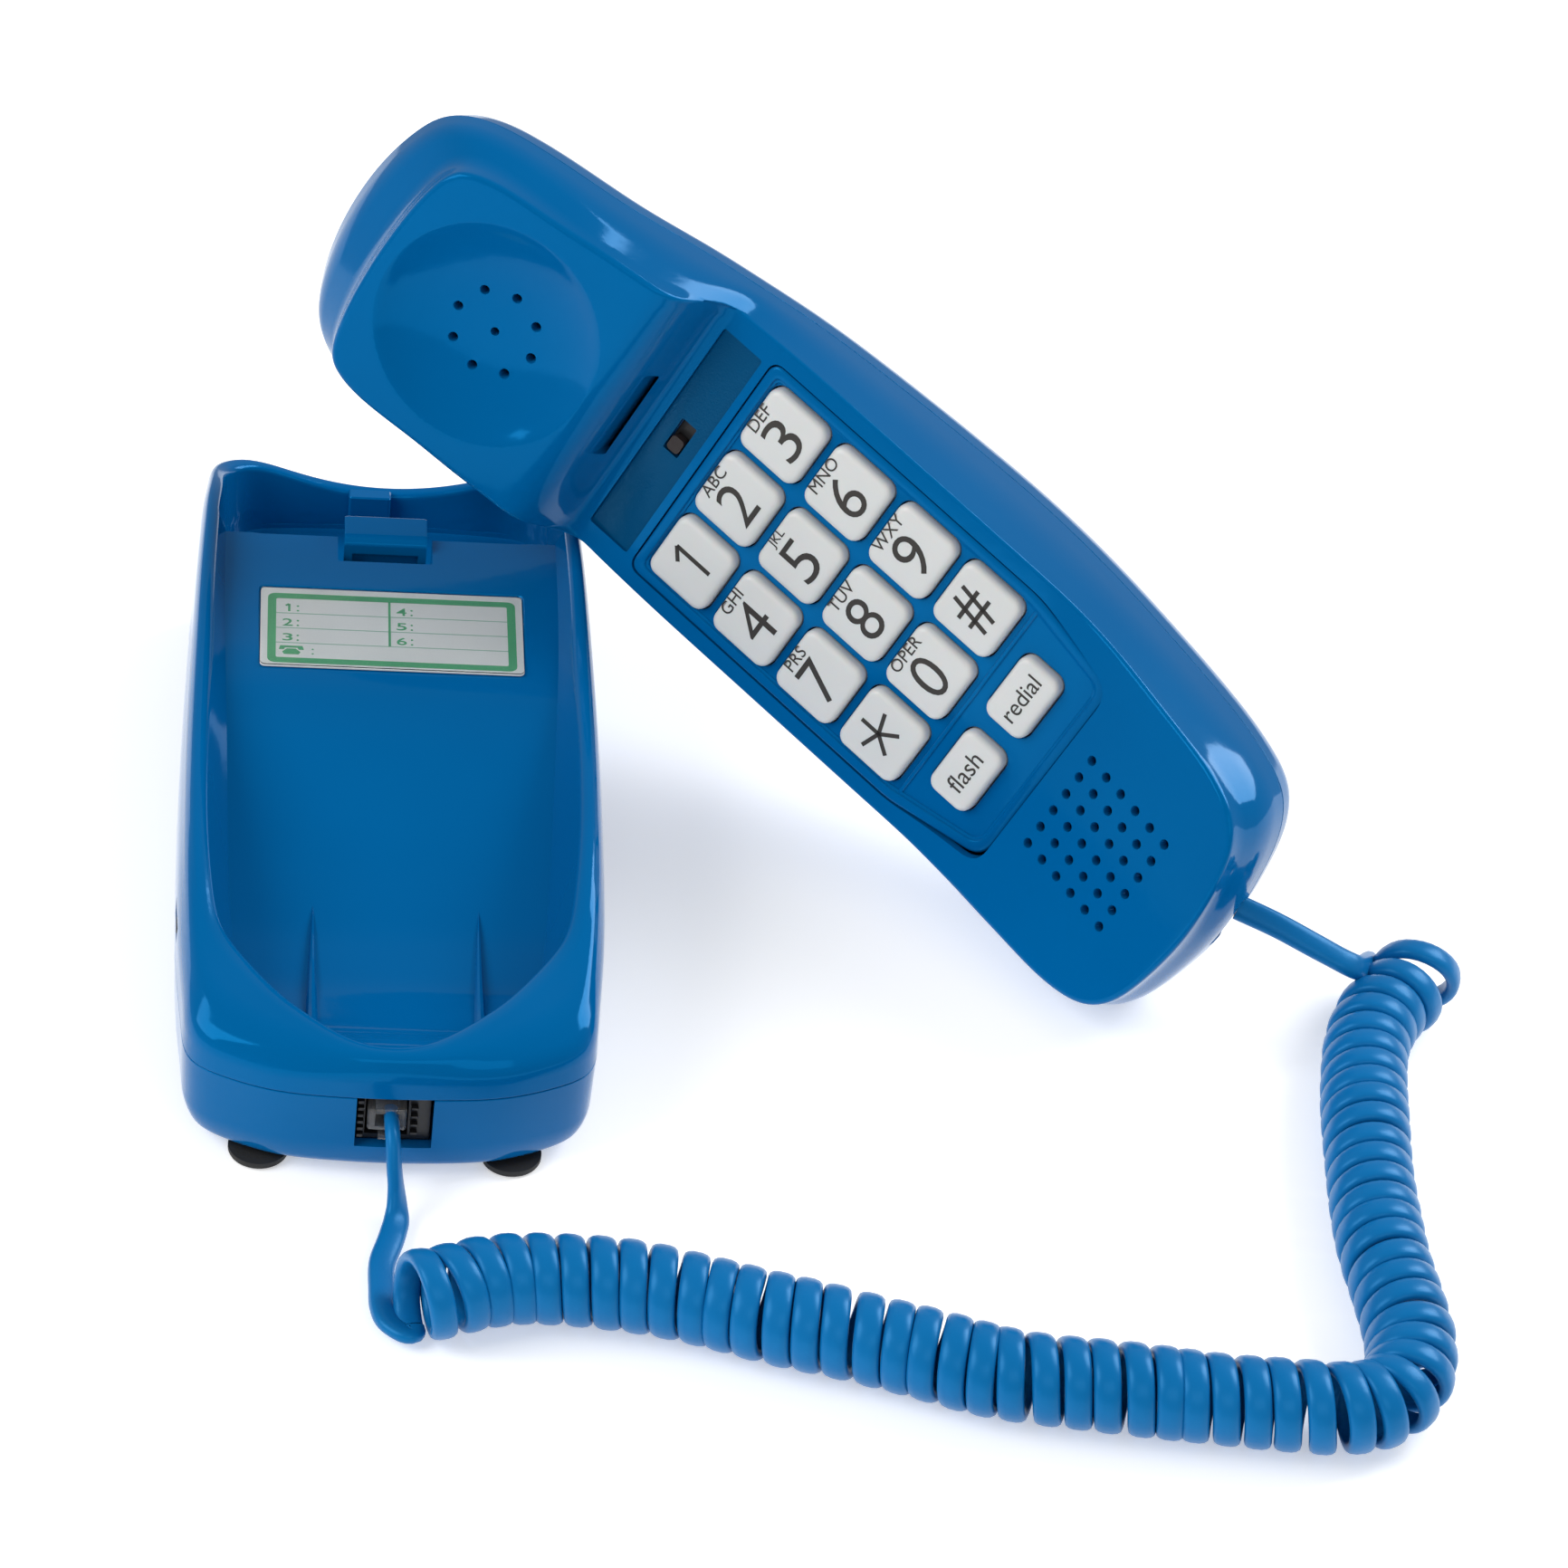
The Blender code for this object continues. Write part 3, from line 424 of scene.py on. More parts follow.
cordFacts = {
    "width": 5.3, "thick": 2.9, "coilRadius": 9.25, "pitch": 5.85, "around": 14, "pointsPerTurn": 30,
    "startAngle": -112, "endAngle": -15,
    "baseLead": [(0.5, 3.5, 14.9), (0.6, -0.6, 14.9), (0.8, -3.4, 13.9), (1.2, -6.4, 10.2), (1.9, -9.6, 5.4),
                 (2.1, -13, 2.9), (0.9, -19, 2.5), (-0.9, -26, 2.5), (-1.0, -33, 2.5), (-0.8, -38.4, 2.5),
                 (0.6, -42.4, 2.4)],
    "coilAxis": [(3.9, -42.4), (10.6, -40.6), (16.5, -38.2), (25.7, -36.2), (46, -37.5), (59.6, -40.7),
                 (73, -45.2), (86.7, -48.9), (98.7, -52.7), (114.6, -58.1), (133.4, -60.9), (153.7, -63.3),
                 (170, -64.9), (180.8, -65.3), (188.6, -63.0), (193.6, -57.4), (195.8, -48), (195.4, -36),
                 (194.1, -21), (194.2, -5), (195.4, 13), (196.8, 27), (199.4, 41), (203.6, 50.6),
                 (208.6, 57), (211.8, 61.6), (212.6, 66.0)],
    "handsetLead": [(197.5, 55.6, 17.6), (190, 57.4, 20.6), (181, 60.2, 24.0), (172.6, 63.0, 26.3)],
}


def alongCurve(points, count):
    # Points evenly spaced along a Catmull-Rom curve through the given ones, with centripetal knots.
    p = np.asarray(points, float)
    p = np.vstack([2 * p[0] - p[1], p, 2 * p[-1] - p[-2]])
    rows = []
    for a, b, c, d in zip(p, p[1:], p[2:], p[3:]):
        knots = np.cumsum([0.0] + [np.linalg.norm(step) ** 0.5 for step in (b - a, c - b, d - c)])
        t = np.linspace(knots[1], knots[2], 24, endpoint=False)[:, None]

        def mix(first, second, i, j):
            low, high = knots[i], knots[j]
            return (high - t) / (high - low) * first + (t - low) / (high - low) * second

        middle = mix(b, c, 1, 2)
        rows.append(mix(mix(mix(a, b, 0, 1), middle, 0, 2), mix(middle, mix(c, d, 2, 3), 1, 3), 1, 2))
    line = np.vstack(rows + [p[-2:-1]])
    lengths = np.concatenate([[0], np.cumsum(np.linalg.norm(np.diff(line, axis=0), axis=1))])
    at = np.linspace(0, lengths[-1], count)
    return np.column_stack([np.interp(at, lengths, line[:, k]) for k in range(p.shape[1])])


def unitRows(rows):
    return rows / np.linalg.norm(rows, axis=1, keepdims=True)


def coilLine(facts):
    # A right-handed helix round the axis: centre + r (cos f) side + r (sin f) up, where f grows by a
    # turn per pitch.
    # The turns open and widen over the last part, next to the handset. Returns points and the outward
    # directions.
    axis = alongCurve([(x, y, 0) for x, y in facts["coilAxis"]], 1200)
    length = np.linalg.norm(np.diff(axis, axis=0), axis=1).sum()
    turns = round(length / facts["pitch"]) + (facts["endAngle"] - facts["startAngle"]) / 360
    share = np.linspace(0, 1, int(turns * facts["pointsPerTurn"]))
    wobble = 0.0016 * np.sin(share * 47) + 0.0011 * np.sin(share * 113 + 1)
    opened = share + wobble * np.sin(math.pi * share) + 0.01 * np.maximum(0, (share - 0.94) / 0.06) ** 2
    opened = opened / opened[-1]
    centre = np.column_stack([np.interp(opened, np.linspace(0, 1, len(axis)), axis[:, k]) for k in range(3)])
    forward = unitRows(np.gradient(centre, axis=0))
    side = np.cross([0, 0, 1], forward)
    radius = facts["coilRadius"] - facts["thick"] / 2
    radius = radius * (1 + 0.012 * np.sin(share * 61) + 0.12 * np.maximum(0, (share - 0.965) / 0.035))
    angle = math.radians(facts["startAngle"]) + 2 * math.pi * turns * share
    lift = radius + facts["thick"] / 2 + 0.25
    out = np.cos(angle)[:, None] * side + np.sin(angle)[:, None] * np.array([0, 0, 1.0])
    return centre + out * radius[:, None] + np.array([0, 0, 1]) * lift[:, None], out


def cordRings(line, flat, facts):
    # A superellipse section |a/w|^2.6 + |b/t|^2.6 = 1 carried along the line, with its thin side
    # facing flat.
    forward = unitRows(np.gradient(line, axis=0))
    flat = unitRows(flat - forward * np.sum(flat * forward, axis=1, keepdims=True))
    wide = np.cross(forward, flat)
    angle = np.linspace(0, 2 * math.pi, facts["around"], endpoint=False)
    power = 2 / 2.6
    c = np.sign(np.cos(angle)) * np.abs(np.cos(angle)) ** power * facts["width"] / 2
    s = np.sign(np.sin(angle)) * np.abs(np.sin(angle)) ** power * facts["thick"] / 2
    return line[:, None] + wide[:, None] * c[None, :, None] + flat[:, None] * s[None, :, None]


def makeCord(facts):
    coil, out = coilLine(facts)
    lead = alongCurve(facts["baseLead"] + [tuple(coil[0]), tuple(coil[3])], 120)[:-4]
    tail = alongCurve([tuple(coil[-4]), tuple(coil[-1])] + facts["handsetLead"], 90)[8:]
    line = np.vstack([lead, coil, tail])
    leadShare = np.linspace(0, 1, len(lead))[:, None]
    tailShare = np.linspace(0, 1, len(tail))[:, None]
    turnShare = np.clip((leadShare - 0.15) / 0.3, 0, 1)
    joinShare = np.clip((leadShare - 0.8) / 0.2, 0, 1)
    leadFlat = (1 - turnShare) * np.array([1.0, 0, 0.2]) + turnShare * np.array([0.3, 0.15, 1.0])
    leadFlat = (1 - joinShare) * leadFlat + joinShare * out[0] * np.sign(out[0] @ leadFlat[-1])
    tailFlat = (1 - tailShare) * out[-1] + tailShare * np.array([-0.1, 0.75, -0.65])
    sign = np.sign(out[0] @ leadFlat[-1])
    flat = np.vstack([leadFlat * sign, out, tailFlat])
    window = np.ones(5) / 5
    pad = np.vstack([line[:1]] * 2 + [line] + [line[-1:]] * 2)
    line = np.column_stack([np.convolve(pad[:, k], window, "valid") for k in range(3)])
    line[:, 2] = np.maximum(line[:, 2], facts["thick"] / 2 + 0.1)
    rings = cordRings(line, flat, facts)
    cord = newObject("handsetCord", onBase(rings.reshape(-1, 3)), tubeFaces(len(rings), facts["around"]), 50)
    cord.data.materials.append(looks["cordBlue"])
    path = onBase(line)
    tuple(onBase((0.6, -0.6, 14.9)))
    tuple(onBase((190, -56, 9)))
    tuple(onBase((240, -6, 9)))
    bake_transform(cord)
    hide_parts("base_lead", "cord_coil_front", "cord_coil_side", "handset_lead")


plugFacts = {"width": 7.65, "baseX": -0.45, "baseMouth": 1.2, "baseFoot": 11.4, "handsetV": 1.6,
             "handsetMouth": 105.6, "handsetFoot": -5.3}


def plugBody(facts):
    # Plug points in (across, inwards, up): the shouldered body. makePlugs adds the spring latch below it
    # and cuts the slot for the cord.
    side = roundedPolygon([(0, 1.2), (0, 6.4), (6.4, 7.4), (11.4, 7.4), (11.4, 1.6), (6.2, 1.2)], 0.45, 3)
    half = facts["width"] / 2
    wide, narrow = side, side * 0.94 + side.mean(axis=0) * 0.06
    return sideways([(narrow, -half), (wide, -half + 0.35), (wide, half - 0.35), (narrow, half)])


def plugLatch():
    corners = [(-0.4, -0.9), (-0.4, -0.1), (5.4, 0.5), (10.6, 1.5), (10.6, 0.9), (5.6, -0.4)]
    side = roundedPolygon(corners, 0.2, 2)
    return sideways([(side, -1.6), (side, 1.6)])


def slab(low, high, corner=0.2, steps=3):
    # A block with its upright edges rounded and a small break on its top edges.
    low, high = np.array(low, float), np.array(high, float)
    size, centre = high - low, (low + high) / 2
    full = roundedBox(size[0], size[1], corner, steps) + centre[:2]
    inner = roundedBox(size[0] - corner, size[1] - corner, corner / 2, steps) + centre[:2]
    rise = corner / 2
    return stacked([(inner, low[2]), (full, low[2] + rise), (full, high[2] - rise), (inner, high[2])])


def makePlugs(facts):
    def toBase(points):
        return onBase(points + (facts["baseX"], facts["baseMouth"], facts["baseFoot"]))

    def toHandset(points):
        p = np.asarray(points)
        return onHandset(np.column_stack([facts["handsetMouth"] - p[:, 1], facts["handsetV"] + p[:, 0],
                                          facts["handsetFoot"] - p[:, 2]]))

    contacts = [slab((x - 0.16, 7.6, 5.6), (x + 0.16, 10.8, 7.0), 0.1, 1) for x in (-1.52, -0.51, 0.51, 1.52)]
    for name, place, body, node in (("basePlug", toBase, "base", "base_plug"),
                                    ("handsetPlug", toHandset, "handset", "handset_plug")):
        shell = placed(name, plugBody(facts), place, 35)
        strap = slab((-2.3, -0.6, 2.2), (2.3, 4.5, 5.4), 0.3)
        boolean(shell, [placed("strapHole", strap, place, 35)])
        finishPiece(shell, "clearPlastic", body, "clear_plastic", node)
        finishPiece(placed(name + "Latch", plugLatch(), place, 35), "clearPlastic", body, "clear_plastic")
        finishPiece(joined(name + "Contacts", contacts, place), "goldContact", body, "steel")


makePlugs(plugFacts)
makeCord(cordFacts)

baseFacts = {
    "count": 320, "columns": 28, "centre": 94.0, "partingZ": 21.0, "gap": 0.06, "wall": 2.3, "bottom": 1.9,
    "outline": [(0, 0.6), (12, 1.0), (22, 2.2), (32.2, 5.8), (38.5, 10.2), (40.9, 20), (42.1, 35),
                (42.8, 60), (42.8, 90), (42.2, 118), (41.5, 142), (41.1, 153), (40.6, 164), (39.8, 174),
                (37.8, 182.5), (32.5, 186.4), (22, 187.0), (11, 187.5), (0, 187.7)],
    "rim": [(0, 3.8, 30.6), (9.5, 6.0, 31.0), (18.4, 12, 32.1), (26, 19.4, 33.2), (31.6, 26.5, 34.3),
            (36, 33, 36.2), (38.3, 43, 39.0), (39.8, 62, 42.6), (40.2, 90, 45.6), (39.9, 118, 47.5),
            (39.4, 142, 48.5), (39.0, 153, 48.4), (38.5, 163, 47.6), (37.8, 172, 45.6), (36.2, 180.6, 42.6),
            (31.2, 184.6, 40.9), (21, 185.3, 38.0), (10.5, 185.8, 34.9), (0, 186.0, 33.8)],
    "crease": [(0, 8.5), (8.6, 10), (16, 14.8), (22.6, 21.5), (27.2, 28.4), (29.8, 36), (30.9, 45),
               (32.2, 62), (33.4, 90), (34.4, 118), (34.8, 142), (34.8, 152), (34.7, 163), (34.2, 171),
               (32.4, 177.6), (27.5, 181.0), (19, 182.0), (9.5, 182.6), (0, 182.9)],
    "floor": [(-9, 23.4), (15.6, 23.4), (23, 18.4), (38, 17.7), (52, 20.2), (66, 25.2), (80, 31.2),
              (94, 36.9), (106, 40.5), (116, 41.8), (130, 42.0), (156.8, 42.0), (158.4, 26.0), (200, 26.0)],
    "flatFrom": 128, "rearFrom": 148, "rearUnder": 22.0, "well": (-34.4, 156.8, 34.4, 182.6),
    "wellCorner": 8, "wellFloor": 24.5,
    "notch": (-11.2, 147.4, 8.7), "card": (54.4, 26.65, 41.1),
}


def floorHeight(facts):
    # The cradle floor's height along the length: its table, averaged over a short stretch so that it
    # is smooth.
    y = np.linspace(-12, 200, 2121)
    table = np.interp(y, *zip(*facts["floor"]))
    window = np.hanning(121) / np.hanning(121).sum()
    soft = np.convolve(np.pad(table, 60, mode="edge"), window, "valid")
    soft = np.where(y > facts["flatFrom"], table, soft)
    return lambda x, where: np.interp(where, y, soft)


def makeBaseUpper(facts):
    gaps = knotGaps(facts["outline"])
    count = facts["count"]
    wall, rim, crease = (closedSpline(facts[k], gaps, count) for k in ("outline", "rim", "crease"))
    floor = floorHeight(facts)
    centre, low = facts["centre"], facts["partingZ"] + facts["gap"]
    height = rim[:, 2]
    belly = wall * 0.96 + rim[:, :2] * 0.04
    brow = wall * 0.52 + rim[:, :2] * 0.48
    lip = shrink(rim, 2.5, 2.5, centre)
    mid = crease * 0.5 + lip[:, :2] * 0.5
    creaseHeight = floor(0, crease[:, 1])
    under = shrink(raised(crease, 0), -0.6, -0.6, centre)

    def beneath(x, y):
        return np.where(y > facts["rearFrom"], facts["rearUnder"], floor(x, y) - facts["wall"])

    underHeight = beneath(0, under[:, 1])
    inside = shrink(raised(wall, low), facts["wall"], facts["wall"], centre)
    rows = np.array([
        raised(under, underHeight),
        raised(inside * 0.5 + raised(under, 0) * 0.5, np.maximum(underHeight, low + 0.6)),
        raised(inside, low + 0.3),
        raised(inside, low),
        raised(wall, low),
        raised(belly, low + (height - low) * 0.55),
        raised(brow, low + (height - low) * 0.9),
        raised(rim, height),
        raised(lip, height - 0.5),
        raised(mid, creaseHeight * 0.5 + height * 0.5 - 0.4),
        raised(crease, creaseHeight),
    ])
    rounded = roundRows(rows, [0.1, 0.1, 0.1, 0.25, 7, 3, 1.3, 1.3, 6], 6)
    shell = placed("baseUpperShell", bowl(rounded, facts["columns"], beneath, floor), onBase)
    x0, y0, x1, y1 = facts["well"]
    middle = np.array([(x0 + x1) / 2, (y0 + y1) / 2])
    corners = [(x0, y0), (x1, y0), (x1 - 1, y1 - 1.6), (14, y1), (-14, y1), (x0 + 1, y1 - 1.6)]
    outline = roundedPolygon(corners, facts["wellCorner"], 8) - middle

    def grown(amount):
        return outline * (1 + amount / np.abs(outline).max(axis=0)) + middle

    foot = facts["wellFloor"]
    well = stacked([(grown(amount), z) for amount, z in (
        (-1.6, foot), (-0.5, foot + 0.6), (0, foot + 3), (0, 40.9), (0.25, 41.5), (0.7, 41.9), (1.0, 42.1),
        (1.0, 80))])
    n0, n1, n2 = facts["notch"]
    notch = prism(rectangle(n0, n1, n2, 168, 0.5, 3), 27, 60)
    width, depth, height = facts["card"]
    cardHole = roundedBox(width + 0.5, depth + 0.5, 1.2, 5) + (0, cardY)
    lipHole = roundedBox(width + 1.5, depth + 1.5, 1.7, 5) + (0, cardY)
    card = stacked([(cardHole, height), (cardHole, 41.75), (lipHole, 42.25), (lipHole, 60)])
    slot = prism(rectangle(-50, 40, -38.8, 50, 0.4), 25.5, 29.5)  # for the ringer switch
    bay = prism(rectangle(-39.4, 38, -35.2, 52, 0.2), 15, 31.5)  # behind it
    boolean(shell, [placed("rib", cradleRib(x), onBase) for x in (-15.3, 18.0)], "UNION")
    boolean(shell, [placed("cutter", solid, onBase) for solid in (well, notch, card, slot, bay)])
    strap = slab((-8.4, 180.9, 24), (0.6, 184.2, 34.4), 0.6)
    boolean(shell, [placed("strap", strap, onBase)], "UNION", 32)
    return finishPiece(weighted(shell), "glossyBlue", "base", "shell_blue", "base_upper_shell")


def cradleRib(x):
    # A low rib that swells towards the front: its half width and height fall off along its length.
    s = np.linspace(0, 1, 30)
    y = 15 + 44 * s
    top = np.interp(y, [15, 30, 40, 50, 59], [21.6, 19.6, 19.8, 21.0, 22.4])
    wide = 1.35 * (1 - s) + 0.25
    rows = []
    for across, up in ((-1, -3.5), (-1, -1.2), (-0.55, -0.2), (0, 0), (0.55, -0.2), (1, -1.2), (1, -3.5)):
        rows.append(np.column_stack([x + across * wide, y, top + up]))
    ring = np.array(rows).transpose(1, 0, 2)
    return ring.reshape(-1, 3), tubeFaces(*ring.shape[:2])


def makeBaseLower(facts):
    wall = closedSpline(facts["outline"], knotGaps(facts["outline"]), facts["count"])
    wall = raised(wall, 0)
    centre, top = facts["centre"], facts["partingZ"] - facts["gap"]
    rows = np.array([
        raised(shrink(wall, 6.0, 5.8, centre), facts["bottom"] + facts["wall"]),
        raised(shrink(wall, 2.7, 2.7, centre), facts["bottom"] + 6.2),
        raised(shrink(wall, 2.3, 2.3, centre), top),
        raised(wall, top),
        raised(shrink(wall, 0.4, 0.3, centre), 7.4),
        raised(shrink(wall, 1.8, 1.1, centre), 3.6),
        raised(shrink(wall, 4.4, 3.0, centre), facts["bottom"]),
        raised(shrink(wall, 8.0, 6.4, centre), facts["bottom"]),
    ])
    rounded = roundRows(rows, [1, 0.1, 0.25, 5, 3, 1.5], 6)
    skin = bowl(rounded, 8, lambda x, y: facts["bottom"] + facts["wall"], lambda x, y: facts["bottom"])
    shell = placed("baseLowerShell", skin, onBase)
    mouths = [(-6.5, -5, 8.5, 12), (-27, 175, -12, 195)]  # the openings for the two jacks
    boolean(shell, [placed("cutter", prism(rectangle(*mouth, 0.3), 8.5, 30), onBase) for mouth in mouths])
    return finishPiece(weighted(shell), "glossyBlue", "base", "shell_blue", "base_lower_shell")


makeBaseUpper(baseFacts)
makeBaseLower(baseFacts)
print("base shells made")

handsetFacts = {
    "count": 420, "columns": 44, "centre": -11.0, "wall": 2.3, "gap": 0.06,
    "parting": [(0, -128.2, 12.0), (10, -127.5, 11.9), (18.5, -125.6, 11.7), (26, -122.1, 11.2),
                (31.3, -114.6, 10.4), (33.5, -106, 9.2), (34.3, -96, 6.9), (34.5, -80, 1.9),
                (34.5, -66, -5.0), (34.5, -54, -9.9), (34.5, -42, -14.2), (34.5, -20, -18.8),
                (34.5, 2, -21.4), (34.5, 24, -22.1), (34.4, 46, -19.4), (34.0, 60, -16.8), (33.3, 76, -13.4),
                (32.3, 90, -8.8), (29.2, 98.8, -5.9), (22.6, 103.3, -4.6), (14.8, 105.4, -3.8),
                (7, 106.6, -3.3), (0, 107.0, -3.1)],
    "edge": [(0, -112.4), (7.4, -112.2), (14.8, -111.6), (23.2, -109.8), (27.6, -105.6), (29.3, -98.6),
             (29.8, -88), (30.5, -76), (31, -65), (31.7, -54), (32.5, -43), (33, -20), (33, 2), (33, 24),
             (32.8, 46), (32.3, 60), (31.4, 76), (30.0, 88), (26.8, 95.8), (21.2, 100.2), (13.8, 102.3),
             (6.8, 103.3), (0, 103.7)],
    "face": [(-140, 33.99), (-58.6, 14.74), (-54.0, 1.5), (-52.6, 0.35), (-51.2, 0.0), (47, 0.0),
             (120, 19.7)],
    "faceRadii": [5.5, 0.7, 0.7, 0.7, 12], "socket": (86, -4.6, 115, 8.0), "socketHeights": (-13.7, -0.6),
    "shoulder": [(-130, 22.5), (-112, 21.8), (-80, 17.4), (-64, 13.4), (-57, 8.5), (-51, -0.6), (-38, -1.6),
                 (-8, -1.7), (45, -1.4), (60, 0.9), (77, 4.9), (93, 9.0), (107, 11.7)],
}


def faceProfile(facts):
    # The face's height along the handset: a polyline whose corners are quadratic arcs.
    line = np.array(facts["face"], float)[:, None, :]
    soft = roundRows(line, facts["faceRadii"], 10)[:, 0]
    return lambda v, u: np.interp(u, soft[:, 0], soft[:, 1])


def handsetPoints(points):
    # Rings are kept as (v, u, w), with the symmetry plane at v = 0.
    return onHandset(np.asarray(points)[:, [1, 0, 2]])


def softTable(table):
    # A table smoothed over a short stretch.
    u = np.linspace(-140, 120, 1041)
    rough = np.interp(u, *zip(*table))
    window = np.hanning(41) / np.hanning(41).sum()
    soft = np.convolve(np.pad(rough, 20, mode="edge"), window, "valid")
    return lambda where: np.interp(where, u, soft)


def diskCutter(name, centre, slope, layers, sides=72):
    # A turned cutter: rings of (radius, height) about an axis that stands on the sloping face.
    circle = circlePoints(sides)
    return placed(name, stacked([(radius * circle, height) for radius, height in layers]),
                  lambda points: tilted(points, centre, slope))


def holeCutter(name, centre, slope, places, radius, depth, sides=16):
    circle = circlePoints(sides)
    bodies = [stacked([(radius * 0.85 * circle + p, -depth), (radius * circle + p, -0.25),
                       (radius * 1.25 * circle + p, 0.12), (radius * 1.3 * circle + p, 5)]) for p in places]
    return joined(name, bodies, lambda points: tilted(points, centre, slope), 0)


def blockCutter(outline, low, high):
    return placed("cutter", prism(outline, low, high), onHandset)


windowOutline = [(-38.2, 29.3), (-38.2, -29.3), (36.0, -29.3), (59.4, -24.8), (59.4, 24.8), (36.0, 29.3)]
windowRadii = [3.0, 3.0, 3.0, 4.5, 4.5, 3.0]


def insetWindow(inset):
    # The keypad window's outline drawn in by inset on every side.
    p = np.array(windowOutline, float)
    centre = np.array([10.1, 0])
    size = np.abs(p - centre).max(axis=0)
    radii = np.maximum(np.array(windowRadii) - inset * 0.5, 0.8)
    return roundedPolygon(centre + (p - centre) * (1 - inset / size), radii, 8)


def makeHandsetFront(facts):
    gaps = knotGaps([p[:2] for p in facts["parting"]])
    wall, edge = (closedSpline(facts[k], gaps, facts["count"]) for k in ("parting", "edge"))
    face, shoulderAt = faceProfile(facts), softTable(facts["shoulder"])
    centre = facts["centre"]
    parting = wall[:, 2] + facts["gap"]
    edge = raised(edge, face(0, edge[:, 1]))
    shoulder = raised(wall * 0.16 + edge * 0.84, 0)
    shoulder[:, 2] = shoulderAt(shoulder[:, 1])
    bulge = raised(wall * 0.7 + shoulder * 0.3, parting * 0.5 + shoulder[:, 2] * 0.5)
    bulge = shrink(bulge, -0.5, -0.6, centre)
    inside = raised(shrink(wall, facts["wall"], facts["wall"], centre), parting)
    under = shrink(edge, facts["wall"], facts["wall"], centre)
    thick = softTable([(-130, 7.0), (-66, 7.0), (-58, 8.5), (-48, 2.3), (120, 2.3)])
    under[:, 2] = face(0, under[:, 1]) - thick(under[:, 1])
    deep = raised(inside * 0.7 + under * 0.3, parting * 0.6 + shoulder[:, 2] * 0.4 - 1.5)
    rows = np.array([under, deep, inside, raised(wall, parting), bulge, shoulder, edge,
                     raised(shrink(edge, 2.5, 2.5, centre), 0)])
    rows[-1][:, 2] = face(0, rows[-1][:, 1])
    skin = bowl(roundRows(rows, [0.1, 0.1, 0.25, 9, 2.4, 1.2], 7), facts["columns"],
                lambda v, u: face(v, u) - thick(u), face)
    shell = placed("handsetFrontShell", skin, handsetPoints)
    cutters = [blockCutter(insetWindow(0), -14, 14),
               diskCutter("dish", (-85.5, 0, 21.1), -0.2365,
                          [(3, -3.85), (8, -3.7), (12.5, -3.3), (17, -2.5), (20.4, -1.55), (22.4, -0.75),
                           (23.6, -0.24), (24.3, -0.05), (25.2, 0.2), (32, 12)]),
               holeCutter("earHoles", (-85.5, 0, 17.4), -0.2365,
                          [(0, 0)] + [(9.17 * math.cos(a), 9.17 * math.sin(a))
                                      for a in np.linspace(0, 2 * math.pi, 8, endpoint=False)], 0.95, 5),
               holeCutter("micHoles", (76.8, 0, 8.05), 0.2697,
                          [(4.76 * (i - 2.5), 4.76 * (j - 2.5)) for i in range(6) for j in range(6)],
                          0.95, 4),
               blockCutter(rectangle(-50.6, -27.2, -40.0, 27.2, 0.7, 4), -0.9, 8),  # label panel
               blockCutter(rectangle(-47, -3, -43, 5, 0.3), -9, 8),  # volume switch
               blockCutter(rectangle(-56.3, -11, -54.9, 11, 0.3), -1, 20),  # slot that hangs on the hook
               blockCutter(rectangle(*facts["socket"], 0.5), *facts["socketHeights"])]
    boolean(shell, cutters, smooth=32)
    return finishPiece(weighted(shell), "glossyBlue", "handset", "shell_blue", "handset_front_shell")


def lengthwise(ring):
    # The height of a ring's side as a function of the length.
    order = np.argsort(ring[: len(ring) // 2 + 1, 1])
    return lambda v, u: np.interp(u, ring[order, 1], ring[order, 2])


def makeHandsetBack(facts):
    gaps = knotGaps([p[:2] for p in facts["parting"]])
    wall = closedSpline(facts["parting"], gaps, facts["count"])
    wall[:, 2] -= facts["gap"]
    centre = facts["centre"]

    def dropped(side, end, drop):
        ring = shrink(wall, side, end, centre)
        ring[:, 2] -= drop
        return ring

    outside = [dropped(0, 0, 0), dropped(0.4, 0.5, 5.6), dropped(3.4, 2.8, 10.8), dropped(10.5, 7.5, 14.0),
               dropped(20, 14, 15.0)]
    inside = [dropped(2.3, 2.3, 0), dropped(2.8, 2.9, 4.2), dropped(5.9, 5.1, 8.6), dropped(12.8, 9.8, 11.6)]
    rows = np.array(inside[::-1] + outside)

    def crown(v, u):
        ends = np.clip((u + 112) / 30, 0, 1) * np.clip((93 - u) / 30, 0, 1)
        return 0.35 * (1 - (v / 15) ** 2).clip(0, 1) * ends**2 * (3 - 2 * ends)

    under, floor = lengthwise(inside[-1]), lengthwise(outside[-1])
    skin = bowl(roundRows(rows, [0.1, 0.1, 0.1, 0.25, 5, 6, 8], 7), 16, under,
                lambda v, u: floor(v, u) - crown(v, u))
    shell = placed("handsetBackShell", skin, handsetPoints)
    boolean(shell, [blockCutter(rectangle(*facts["socket"], 0.5), *facts["socketHeights"])], smooth=32)
    return finishPiece(weighted(shell), "glossyBlue", "handset", "shell_blue", "handset_back_shell")


makeHandsetFront(handsetFacts)
makeHandsetBack(handsetFacts)
print("handset shells made")

keyFacts = {"pitch": 18.0, "size": 15.6, "corner": 2.6, "functionSize": (10.7, 16.5), "functionU": 45.5,
            "functionV": (-11.2, 10.0), "bezelTop": 0.15, "field": -0.75, "band": 2.5}


def keyPlaces(facts):
    places = {}
    for index, name in enumerate(gridKeys):
        row, column = divmod(index, 3)
        places[name] = ((row - 1.5) * facts["pitch"], (column - 1) * facts["pitch"], (facts["size"],) * 2)
    places["key_flash"] = (facts["functionU"], facts["functionV"][0], facts["functionSize"])
    places["key_redial"] = (facts["functionU"], facts["functionV"][1], facts["functionSize"])
    return places


